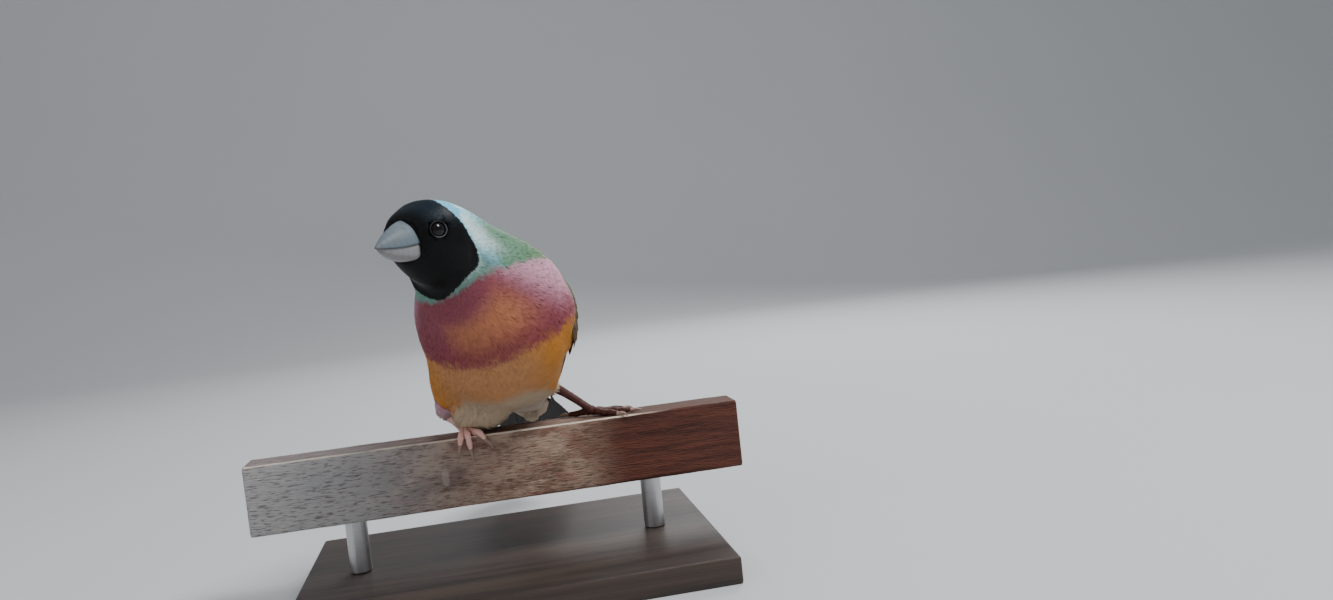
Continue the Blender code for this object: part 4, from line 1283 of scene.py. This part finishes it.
def bill_shape(length, half_width, depth, upward, rounding):
    """One half of the bill.

    Its sections are arches on the line of the mouth, squarer for smaller powers in rounding: the
    width falls with the share along it to the power 1.45 and the height with the power 1.7, and a
    ridge runs along the top.
    """
    centre, forward, left, up, _ = body_frame(np.array(BILL_ROW))
    t = np.linspace(0, 1, 40) ** 0.85
    arch = np.linspace(0, math.pi, 41)
    wide = half_width * (1 - t ** 1.45) + 0.22 * t
    tall = depth * (1 - t ** 1.7) + 0.3 * t
    keel = 1 + 0.05 * np.exp(-((arch - math.pi / 2) / 0.22) ** 2)
    lip = 1 + 0.025 * np.exp(-(np.sin(arch) / 0.16) ** 2)
    mouth = MOUTH_HEIGHT - MOUTH_DROP * t ** 2 + upward * 0.05
    flat = np.linspace(-1, 1, 9)[1:-1]
    spread = np.sign(np.cos(arch)) * np.abs(np.cos(arch)) ** rounding[0]
    across = wide[:, None] * np.concatenate([spread * lip, flat])
    height = tall[:, None] * np.concatenate([np.sin(arch) ** rounding[1] * keel, 0 * flat])
    bend = 0.28 * np.sin(t * math.pi)[:, None] * np.abs(across / half_width) ** 1.5
    back = -0.5 * (1 - t)[:, None] * np.concatenate([np.sin(arch) * 0.5, 0 * flat])
    ahead = t[:, None] * length - BILL_SEAT + back
    above = mouth[:, None] + upward * height - bend * upward * 0.5
    rings = centre + forward * ahead[..., None] + left * across[..., None] + up * above[..., None]
    if upward > 0:
        for side in (1, -1):
            spot = (centre + forward * NOSTRIL_PLACE[0] + left * side * NOSTRIL_PLACE[1]
                    + up * NOSTRIL_PLACE[2])
            gap = np.linalg.norm(rings - spot, axis=2, keepdims=True)
            inner = centre + forward * NOSTRIL_PLACE[0] + up * NOSTRIL_PLACE[2]
            pull = inner - rings
            pull /= np.linalg.norm(pull, axis=2, keepdims=True)
            rings = rings + pull * 0.5 * np.exp(-(gap / 0.5) ** 2)
    points, faces = tube(rings)
    along = np.append(np.repeat(t, rings.shape[1]), (0.0, 1.0))
    high = np.append((height / depth).ravel(), (0.0, 0.0))
    beside = np.append((across / half_width).ravel(), (0.0, 0.0))
    return points, faces, {"horn": np.stack([along, beside, high], -1)}


class FINCH_OT_bill(bpy.types.Operator):
    """Make the two halves of the bill."""
    bl_idname = "finch.bill"
    bl_label = "Bill"

    def execute(self, context):
        colours = context.scene.finch_colours
        upper = bill_shape(BILL_LENGTH + BILL_SEAT, BILL_HALF_WIDTH, UPPER_DEPTH, 1, UPPER_ROUNDING)
        lower = bill_shape(BILL_LENGTH * LOWER_SHARE + BILL_SEAT, BILL_HALF_WIDTH * LOWER_SHARE,
                           LOWER_DEPTH, -1, LOWER_ROUNDING)
        build_piece("upper_bill", upper, horn_paint("upper_horn", colours.bill),
                    ("bill_upper",))
        build_piece("lower_bill", lower, horn_paint("lower_horn", colours.bill_low),
                    ("bill_lower",))
        return {"FINISHED"}


def around_axis(place, look, radii, heights, sides=48):
    """Rings round an axis: each has a radius and a height along the axis."""
    beside, above = square_to(look)
    turns = np.linspace(0, TURN, sides, endpoint=False)
    ring = beside * np.cos(turns)[:, None] + above * np.sin(turns)[:, None]
    return (place + look * np.asarray(heights)[:, None, None]
            + ring[None] * np.asarray(radii)[..., None, None])


def eyeball(side):
    """An eyeball, whose front bulges by a bell curve of the angle from its axis."""
    place, look = eye_axis(side)
    angles = np.linspace(0.04, math.pi - 0.04, 36)
    bulge = 1 + 0.06 * np.exp(-(angles / 0.5) ** 2)
    rings = around_axis(place, look, EYE_RADIUS * np.sin(angles) * bulge,
                        EYE_RADIUS * np.cos(angles) * bulge)
    points, faces = tube(rings)
    spread = np.append(np.repeat(angles, rings.shape[1]), (0.0, math.pi))
    return points, faces, {"sight": np.stack([spread, 0 * spread, 0 * spread], -1)}


def eye_rim(side):
    """The bare rim of an eye: a thin beaded ring, a little wider than high."""
    place, look = eye_axis(side)
    beside, above = square_to(look)
    around = np.linspace(0, TURN, RIM_STEPS, endpoint=False)
    section = np.linspace(0, TURN, RIM_SIDES, endpoint=False)
    beads = 1 + 0.14 * np.sin(around * 34) ** 2
    oval = 1 + 0.05 * np.cos(2 * around)
    radius = RIM_RADIUS * oval[:, None] + 0.1 * beads[:, None] * np.cos(section)
    height = 0.16 * beads[:, None] * np.sin(section) - 0.08 * np.cos(section)
    ring = beside * np.cos(around)[:, None] + above * np.sin(around)[:, None]
    points = place + look * RIM_SEAT + ring[:, None] * radius[..., None] + look * height[..., None]
    first, second = np.meshgrid(np.arange(RIM_STEPS), np.arange(RIM_SIDES), indexing="ij")
    here, there = first * RIM_SIDES, (first + 1) % RIM_STEPS * RIM_SIDES
    after = (second + 1) % RIM_SIDES
    quads = np.stack([here + second, here + after, there + after, there + second], -1).reshape(-1, 4)
    level, rearward = [np.repeat(part, RIM_SIDES) for part in (np.sin(around), -side * np.cos(around))]
    marks = {"sight": np.stack([level, rearward, 0 * level], -1)}
    return (*outward(points.reshape(-1, 3), [quads]), marks)


class FINCH_OT_eyes(bpy.types.Operator):
    """Make the eyeballs and the bare rims round them."""
    bl_idname = "finch.eyes"
    bl_label = "Eyes"

    def execute(self, context):
        colours = context.scene.finch_colours
        paint = Paint("eye_gloss", {"Roughness": 0.04, "Specular IOR Level": 0.35})
        spread, _, _ = paint.mark("sight")
        iris = paint.mix(paint.step(spread, 0.36, 0.42), (0.002, 0.002, 0.002), colours.iris)
        fibres = paint.noise(paint.place(), 1800.0, 2.0)
        tint = paint.mix(paint.step(spread, 0.85, 1.0), iris, (0.01, 0.008, 0.007))
        paint.feed("Base Color", paint.dim(tint, fibres * 0.6 + 0.7))
        build_piece("eyeballs", merged([eyeball(1), eyeball(-1)]), paint.material,
                    ("eye_left", "eye_right"))
        paint = Paint("eye_rim_skin", {"Specular IOR Level": 0.4})
        grains = paint.noise(paint.place(), 2600.0, 3.0)
        level, rearward, _ = paint.mark("sight")
        lit = paint.step(rearward - level, -0.2, 0.9)
        tint = paint.mix(grains, colours.rim, tone(70, 70, 74))
        paint.feed("Base Color", paint.dim(tint, 0.12 + lit * 1.2))
        paint.feed("Roughness", 0.45 + grains * 0.2)
        paint.bump(grains, 0.00005)
        build_piece("eye_rims", merged([eye_rim(1), eye_rim(-1)]), paint.material)
        return {"FINISHED"}


def carried(path, sides, tall=1.0):
    """Sideways and upward offsets of round rings carried along a path, and the turns of their points.

    A ring is square to the path, and its sideways direction is the last ring's made square again.
    """
    along = np.gradient(path, axis=0)
    along /= np.linalg.norm(along, axis=1, keepdims=True)
    beside = np.empty_like(path)
    last = np.cross(along[0], (0.0, 0.0, 1.0))
    if np.linalg.norm(last) < 0.1:
        last = np.cross(along[0], (1.0, 0.0, 0.0))
    for row, direction in enumerate(along):
        last = last - direction * np.dot(last, direction)
        last /= np.linalg.norm(last)
        beside[row] = last
    above = np.cross(beside, along)
    turns = np.linspace(0, TURN, sides, endpoint=False)
    across = beside[:, None] * np.cos(turns)[None, :, None]
    return across, above[:, None] * (tall * np.sin(turns))[None, :, None], turns


def limb(path, radii, plates, sides=22):
    """A scaled limb: rings along a path, with plates as small steps on the upper side.

    A plate's height falls from its front edge to its back edge, and fades towards the underside.
    """
    across, upward, turns = carried(path, sides)
    run = np.linspace(0, 1, len(path))
    saw = (run * plates) % 1.0
    step = 0.06 * (1 - saw) ** 2 * (saw > 0.02)
    swell = 1 + step[:, None] * np.clip(np.sin(turns) + 0.45, 0, 1)
    rings = path[:, None] + (across + upward) * (radii[:, None] * swell)[..., None]
    points, faces = tube(rings)
    high = np.append(np.tile(np.sin(turns), len(path)), (0.0, 0.0))
    marks = {"scale": np.stack([np.append(np.repeat(saw, sides), (0.0, 0.0)),
                                np.append(np.repeat(run, sides), (0.0, 1.0)), high], -1)}
    return points, faces, marks


def smooth_path(knots, steps):
    """A smooth curve through knots, by the eased reading of their table."""
    return eased(np.array(knots), np.linspace(0, len(knots) - 1.0001, steps))


def over_bar(along, across, lift):
    """A place a lift above the bar; across runs over its top, round an edge and down a face."""
    past = abs(across) - BAR_HALF_DEPTH
    side = math.copysign(1.0, across)
    if past <= 0:
        return BIRD_ORIGIN + (along, across, lift)
    bend = min(past / lift, math.pi / 2)
    drop = max(past - lift * math.pi / 2, 0.0)
    beside = side * (BAR_HALF_DEPTH + lift * math.sin(bend))
    return BIRD_ORIGIN + (along, beside, lift * math.cos(bend) - drop)


def toe_parts(start, reach_along, reach_across, joints):
    """A toe and its claw: limbs along paths over the bar, the toe's thinner between its joints."""
    length = math.hypot(reach_along, reach_across)
    knots = [np.array(start) + BIRD_ORIGIN]
    for i in range(1, joints * 3 + 1):
        t = i / (joints * 3)
        radius = TOE_RADIUS * (1 - 0.34 * t)
        rise = 0.45 * abs(math.sin(math.pi * t * joints / 2)) * (1 - t)
        knots.append(over_bar(start[0] + reach_along * t, start[1] + reach_across * t,
                              radius * 0.93 + rise))
    path = smooth_path(knots, joints * 16)
    t = np.linspace(0, 1, len(path))
    radii = TOE_RADIUS * (1 - 0.36 * t) * (1 - 0.13 * np.sin(math.pi * t * joints) ** 2)
    radii = radii * np.sqrt(1 - 0.9 * np.clip((t - 0.86) / 0.14, 0, 1) ** 2)
    toe = limb(path, radii, joints * 4)
    knots = [path[-4]]
    for t, lift in CLAW_KNOTS:
        share = 1 + (t - 1) * CLAW_LENGTH / length * 3.4
        knots.append(over_bar(start[0] + reach_along * share, start[1] + reach_across * share, lift))
    path = smooth_path(knots, 22)
    t = np.linspace(0, 1, len(path))
    radii = CLAW_RADIUS * (1 - t ** 1.6) + CLAW_TIP
    across, upward, _ = carried(path, 14, 1.15)
    claw = tube(path[:, None] + (across + upward) * radii[:, None, None])
    return toe, claw


def shank(side):
    """A shank, from 3 mm inside the thigh through a slight bow to the ball of the foot."""
    ankle = np.array(ANKLE[side]) + BIRD_ORIGIN
    ball = np.array(BALL[side]) + BIRD_ORIGIN
    hock = np.array(THIGH_ROOT[side]) + BIRD_ORIGIN
    above = ankle + (hock - ankle) / np.linalg.norm(hock - ankle) * 3.0
    bow = (ankle + ball) / 2 + np.array([0.0, 0.25, 0.15])
    path = smooth_path([above, ankle, bow, ball], 64)
    radii = np.interp(np.linspace(0, 1, len(path)), *SHANK_RADII)
    return limb(path, radii * LEG_SHARE[side], SHANK_PLATES, 28)


def foot_pad(side):
    """The round pad where the toes meet; its axis leans a hair, as a plumb one has no level square."""
    turns = np.linspace(0.05, math.pi - 0.05, 18)
    upright = np.array([0.0, 0.0, 1.0]) + 1e-4
    points, faces = tube(around_axis(np.array(BALL[side]) + BIRD_ORIGIN, upright,
                                     PAD_RADIUS * np.sin(turns), PAD_HEIGHT * np.cos(turns), 28))
    return points, faces, {"scale": np.tile((0.5, 0.5, 0.0), (len(points), 1))}


def leg_paint():
    """Scaled skin: pale plates with darker seams, and the left leg in the body's shade."""
    colours = bpy.context.scene.finch_colours
    paint = Paint("leg_scales", {"Specular IOR Level": 0.3, "Subsurface Weight": 0.1,
                                 "Subsurface Radius": (0.001, 0.0005, 0.0004), "Subsurface Scale": 1.0})
    saw, _, high = paint.mark("scale")
    skin = paint.mix(paint.step(paint.axes()[0], 0.004, 0.012), colours.leg, colours.left_leg)
    grains = paint.noise(paint.place(), 1500.0, 4.0)
    seam = paint.step(saw, 0.16, 0.03) * paint.step(high, -0.5, 0.3)
    tint = paint.mix(seam * 0.45, skin, tone(120, 76, 70))
    tint = paint.mix(paint.step(grains, 0.55, 0.75) * 0.12, tint, tone(198, 160, 150))
    paint.feed("Base Color", paint.dim(tint, 0.85 + grains * 0.3))
    paint.feed("Roughness", 0.42 + grains * 0.2)
    paint.bump(grains * 0.6 - seam, 0.00012)
    return paint.material


class FINCH_OT_legs(bpy.types.Operator):
    """Make the scaled shanks and feet, and the claws."""
    bl_idname = "finch.legs"
    bl_label = "Legs"

    def execute(self, context):
        claws = []
        skin = leg_paint()
        for side in ("right", "left"):
            parts = [shank(side), foot_pad(side)]
            for sizes in TOES[side]:
                toe, claw = toe_parts(BALL[side], *sizes)
                parts.append(toe)
                claws.append(claw)
            build_piece("scaled_leg_" + side, merged(parts), skin,
                        ("leg_" + side, "foot_" + side))
        paint = Paint("claw_horn", {"Specular IOR Level": 0.5})
        cloud = paint.noise(paint.place(), 700.0, 3.0)
        paint.feed("Base Color", paint.mix(cloud, context.scene.finch_colours.claw, tone(170, 140, 128)))
        paint.feed("Roughness", 0.3 + cloud * 0.2)
        build_piece("claws", merged(claws), paint.material)
        return {"FINISHED"}


def speckle(x, y, seed):
    """Random heights between whole numbers, eased: four seeded corners mixed by smooth steps."""
    table = np.random.default_rng(seed).uniform(0, 1, (SPECKLES, SPECKLES))
    low_x, low_y = np.floor(x).astype(int), np.floor(y).astype(int)
    u, v = x - low_x, y - low_y
    u, v = u * u * (3 - 2 * u), v * v * (3 - 2 * v)
    a, b = low_x % SPECKLES, low_y % SPECKLES
    c, d = (low_x + 1) % SPECKLES, (low_y + 1) % SPECKLES
    near, far = (1 - v) * table[a, b] + v * table[a, d], (1 - v) * table[c, b] + v * table[c, d]
    return (1 - u) * near + u * far


def bar_paint():
    """Worn bare wood: mottled grey-brown with short dashes along the grain, dark red to one end.

    Its top is darker, a thin broken pale line runs along its upper front edge, partly bare frayed wood and
    partly a painted highlight, and there is a pale spot on the front.
    """
    paint = Paint("worn_bar_wood", {"Specular IOR Level": 0.3})
    x, y, z = paint.axes()
    grain = paint.noise(paint.place((60, 900, 900)), 1.0, 5.0, 0.65)
    dashes = paint.noise(paint.place((420, 3200, 3200)), 1.0, 3.0, 0.6)
    flecks = paint.noise(paint.place((380, 3000, 3000)), 1.3, 3.0, 0.6)
    cloud = paint.noise(paint.place((110, 150, 190)), 1.0, 5.0, 0.65)
    redder = paint.noise(paint.place((75, 130, 170)), 1.7, 4.0, 0.6)
    bare = paint.mix(paint.step(cloud, 0.38, 0.6), tone(122, 94, 80), tone(172, 146, 128))
    bare = paint.mix(paint.step(redder, 0.5, 0.66) * 0.6, bare, tone(140, 92, 78))
    bare = paint.mix(paint.step(x, 0.0, -0.04) * 0.85, bare, tone(180, 182, 184))
    bare = paint.mix(paint.step(flecks, 0.56, 0.68) * 0.35, bare, tone(200, 182, 166))
    bare = paint.mix(paint.step(dashes, 0.52, 0.64) * 0.6, bare, tone(76, 54, 46))
    red = paint.mix(paint.step(grain, 0.3, 0.7), tone(70, 37, 29), tone(104, 60, 47))
    red = paint.mix(paint.step(dashes, 0.58, 0.68) * 0.4, red, tone(56, 30, 25))
    tint = paint.mix(paint.step(x + (cloud - 0.5) * 0.016, 0.016, 0.03), bare, red)
    top = paint.step(z, BAR_HIGH[2] * MM - 0.0002, BAR_HIGH[2] * MM)
    upper = paint.mix(paint.step(x, -0.006, 0.006), tone(92, 50, 41), tone(106, 85, 75))
    tint = paint.mix(top * 0.7, tint, upper)
    # A thin broken pale line along the upper front edge: partly bare frayed wood, partly a painted highlight
    corner = (y - BAR_LOW[1] * MM) + (BAR_HIGH[2] * MM - z)
    edge = paint.step(corner, 0.00056, 0.00042) * paint.step(flecks, 0.3, 0.42)
    tint = paint.mix(edge * paint.step(x, 0.042, 0.03), tint, tone(240, 226, 208))
    across, down = (x + 0.0132) / 0.0009, (z - BAR_HIGH[2] * MM + 0.0085) / 0.0026
    spot = paint.step(across * across + down * down + (cloud - 0.5) * 2.0, 1.2, 0.3)
    tint = paint.mix(spot * paint.step(y, 0.0, -0.001) * 0.35, tint, tone(206, 192, 180))
    paint.feed("Base Color", tint)
    paint.feed("Roughness", 0.72 + (grain - 0.5) * 0.3 - edge * 0.2)
    paint.bump(grain + dashes * -1.2 + flecks * 0.5, 0.0003)
    return paint.material


class FINCH_OT_bar(bpy.types.Operator):
    """Make the cut length of bar that the finch grips."""
    bl_idname = "finch.bar"
    bl_label = "Bar"

    def execute(self, context):
        size, middle = BAR_HIGH - BAR_LOW, (BAR_HIGH + BAR_LOW) / 2
        half = size[1:] / 2
        turns = np.linspace(0, TURN, 200, endpoint=False)
        circle = np.stack([np.cos(turns), np.sin(turns)], -1)
        ring = circle / np.abs(circle).max(axis=1, keepdims=True) * half
        over = np.abs(ring) - (half - BAR_CORNER)
        past = (over > 0).all(axis=1, keepdims=True)
        reach = np.hypot(over[:, :1], over[:, 1:])
        scale = np.where(past, BAR_CORNER / np.maximum(reach, 1e-6), 1.0)
        ring = np.where(past, np.sign(ring) * (half - BAR_CORNER + over * scale), ring)
        ends = np.array([0.0, 0.12, 0.3, BAR_END])
        x = np.concatenate([ends, np.linspace(0.8, size[0] - 0.8, 300), size[0] - ends[::-1]])
        inward = np.maximum(BAR_END - np.minimum(x, size[0] - x), 0)
        pinch = BAR_END - np.sqrt(np.maximum(BAR_END ** 2 - inward ** 2, 0))
        profile = (ring / half)[None] * (half - pinch[:, None])[:, None]
        around = np.arange(len(turns)) * 0.27
        coarse, fine, broad = [
            speckle(x[:, None] / along, around[None] / across, seed)
            for seed, (along, across) in enumerate((COARSE_DENTS, FINE_DENTS, HOLLOWS), 3)]
        wear = DENT_DEPTH * (coarse * 0.6 + fine * 0.4) + HOLLOW_DEPTH * broad
        length = np.linalg.norm(profile, axis=2, keepdims=True)
        profile = profile * (1 - wear[..., None] / length)
        x = np.broadcast_to((x - size[0] / 2)[:, None, None], (*profile.shape[:2], 1))
        rings = np.concatenate([x, profile], axis=2) + middle
        build_piece("worn_bar", tube(rings), bar_paint(), ("perch",))
        return {"FINISHED"}


class FINCH_OT_stand(bpy.types.Operator):
    """Finish the display stand: stained wood and brushed steel."""
    bl_idname = "finch.stand"
    bl_label = "Stand"

    def execute(self, context):
        wood = Paint("stained_wood", {"Specular IOR Level": 0.4, "Coat Weight": 0.15, "Coat Roughness": 0.3})
        grain = wood.noise(wood.place((14, 260, 260)), 1.0, 5.0, 0.6)
        pores = wood.noise(wood.place((60, 2200, 2200)), 1.0, 2.0)
        wood.feed("Base Color", wood.mix(wood.step(grain, 0.3, 0.7), tone(44, 36, 32), tone(72, 58, 50)))
        wood.feed("Roughness", 0.42 + pores * 0.2)
        wood.bump(pores, 0.00012)
        steel = Paint("brushed_steel", {"Metallic": 1.0})
        brushed = steel.noise(steel.place((300, 300, 9000)), 1.0, 2.0)
        steel.feed("Base Color", steel.mix(brushed, tone(176, 176, 178), tone(206, 206, 208)))
        steel.feed("Roughness", 0.24 + brushed * 0.16)
        steel.bump(brushed, 0.00002)
        for node, paint in (("stand_base", wood), ("stand_rod_left", steel), ("stand_rod_right", steel)):
            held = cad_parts[node]
            held.data.materials.clear()
            held.data.materials.append(paint.material)
        return {"FINISHED"}


def look_matrix(place, forward, roll):
    """A camera's matrix from its place, its direction and its roll."""
    right, up = square_to(forward)
    turned_right = right * math.cos(roll) - up * math.sin(roll)
    turned_up = up * math.cos(roll) + right * math.sin(roll)
    columns = np.stack([turned_right, turned_up, -forward, place], axis=1)
    return Matrix([*columns.tolist(), (0.0, 0.0, 0.0, 1.0)])


class FINCH_OT_stage(bpy.types.Operator):
    """Set the floor, the lights and the camera."""
    bl_idname = "finch.stage"
    bl_label = "Stage"

    def execute(self, context):
        settings = context.scene.finch_stage
        bend = np.linspace(0, math.pi / 2, 24)
        wall = FLOOR_FLAT + FLOOR_BEND
        y = np.concatenate([[FLOOR_FRONT], FLOOR_FLAT + FLOOR_BEND * np.sin(bend), [wall]])
        z = np.concatenate([[0.0], FLOOR_BEND - FLOOR_BEND * np.cos(bend), [WALL_TOP]])
        x = np.array([-FLOOR_HALF, FLOOR_HALF])
        grid = np.stack(np.broadcast_arrays(x[None], y[:, None], z[:, None]), -1).reshape(-1, 3)
        row = np.arange(len(y) - 1)[:, None] * 2
        faces = np.concatenate([row, row + 1, row + 3, row + 2], axis=1)
        data = bpy.data.meshes.new("floor")
        data.from_pydata((grid * MM).tolist(), [], faces.tolist())
        data.shade_smooth()
        paint = Paint("pale_floor", {"Roughness": 0.9, "Specular IOR Level": 0.1})
        shade = paint.noise(paint.place(), 3.0, 2.0)
        paint.feed("Base Color", paint.mix(shade, tone(206, 208, 210), tone(212, 214, 216)))
        data.materials.append(paint.material)
        floor = bpy.data.objects.new("floor", data)
        context.scene.collection.objects.link(floor)
        for name, spot, setting, share, width in LIGHTS:
            light = bpy.data.lights.new(name, "AREA")
            light.energy, light.size = getattr(settings, setting) * share, width
            lamp = bpy.data.objects.new(name, light)
            aim = Vector(LIGHT_TARGET) - Vector(spot)
            lamp.matrix_world = Matrix.Translation(spot) @ aim.to_track_quat("-Z", "Y").to_matrix().to_4x4()
            context.scene.collection.objects.link(lamp)
        world = bpy.data.worlds.new("studio")
        world.use_nodes = True
        sky = world.node_tree.nodes["Background"].inputs
        sky["Color"].default_value = SKY_COLOUR
        sky["Strength"].default_value = settings.sky
        context.scene.world = world
        azimuth, pitch = math.radians(CAMERA_AZIMUTH), math.radians(CAMERA_PITCH)
        forward = np.array([math.sin(azimuth) * math.cos(pitch), math.cos(azimuth) * math.cos(pitch),
                            -math.sin(pitch)])
        place = (np.array(CAMERA_TARGET) + BIRD_ORIGIN) * MM - forward * settings.distance
        lens = bpy.data.cameras.new("camera")
        lens.lens = settings.lens
        lens.sensor_width = 36.0
        lens.sensor_fit = "HORIZONTAL"
        lens.clip_start = 0.005
        lens.clip_end = 20.0
        camera = bpy.data.objects.new("camera", lens)
        camera.matrix_world = look_matrix(place, forward, math.radians(CAMERA_ROLL))
        context.scene.collection.objects.link(camera)
        context.scene.camera = camera
        return {"FINISHED"}


class FINCH_PT_panel(bpy.types.Panel):
    """Lists the pieces in the 3D view's sidebar."""
    bl_idname = "FINCH_PT_panel"
    bl_label = "Gouldian finch"
    bl_space_type = "VIEW_3D"
    bl_region_type = "UI"
    bl_category = "Finch"

    def draw(self, context):
        for maker in MAKERS:
            self.layout.operator(maker.bl_idname)


# In the order in which the pieces are made
MAKERS = (FINCH_OT_stage, FINCH_OT_skin, FINCH_OT_coat, FINCH_OT_vent, FINCH_OT_thigh_coat,
          FINCH_OT_wings, FINCH_OT_tail, FINCH_OT_tail_coverts, FINCH_OT_bill, FINCH_OT_eyes,
          FINCH_OT_legs, FINCH_OT_bar, FINCH_OT_stand)
SETTINGS = {"finch_plumage": FinchPlumage, "finch_colours": FinchColours, "finch_stage": FinchStage}
CLASSES = (*SETTINGS.values(), *MAKERS, FINCH_PT_panel)


def register():
    """Add the classes and the settings to Blender."""
    for kind in CLASSES:
        bpy.utils.register_class(kind)
    for name, kind in SETTINGS.items():
        setattr(bpy.types.Scene, name, bpy.props.PointerProperty(type=kind))


def unregister():
    """Take them out again."""
    for name in SETTINGS:
        delattr(bpy.types.Scene, name)
    for kind in reversed(CLASSES):
        bpy.utils.unregister_class(kind)


def main():
    """Make every piece."""
    register()
    for maker in MAKERS:
        getattr(bpy.ops.finch, maker.bl_idname.split(".")[1])()


if __name__ == "__main__":
    main()
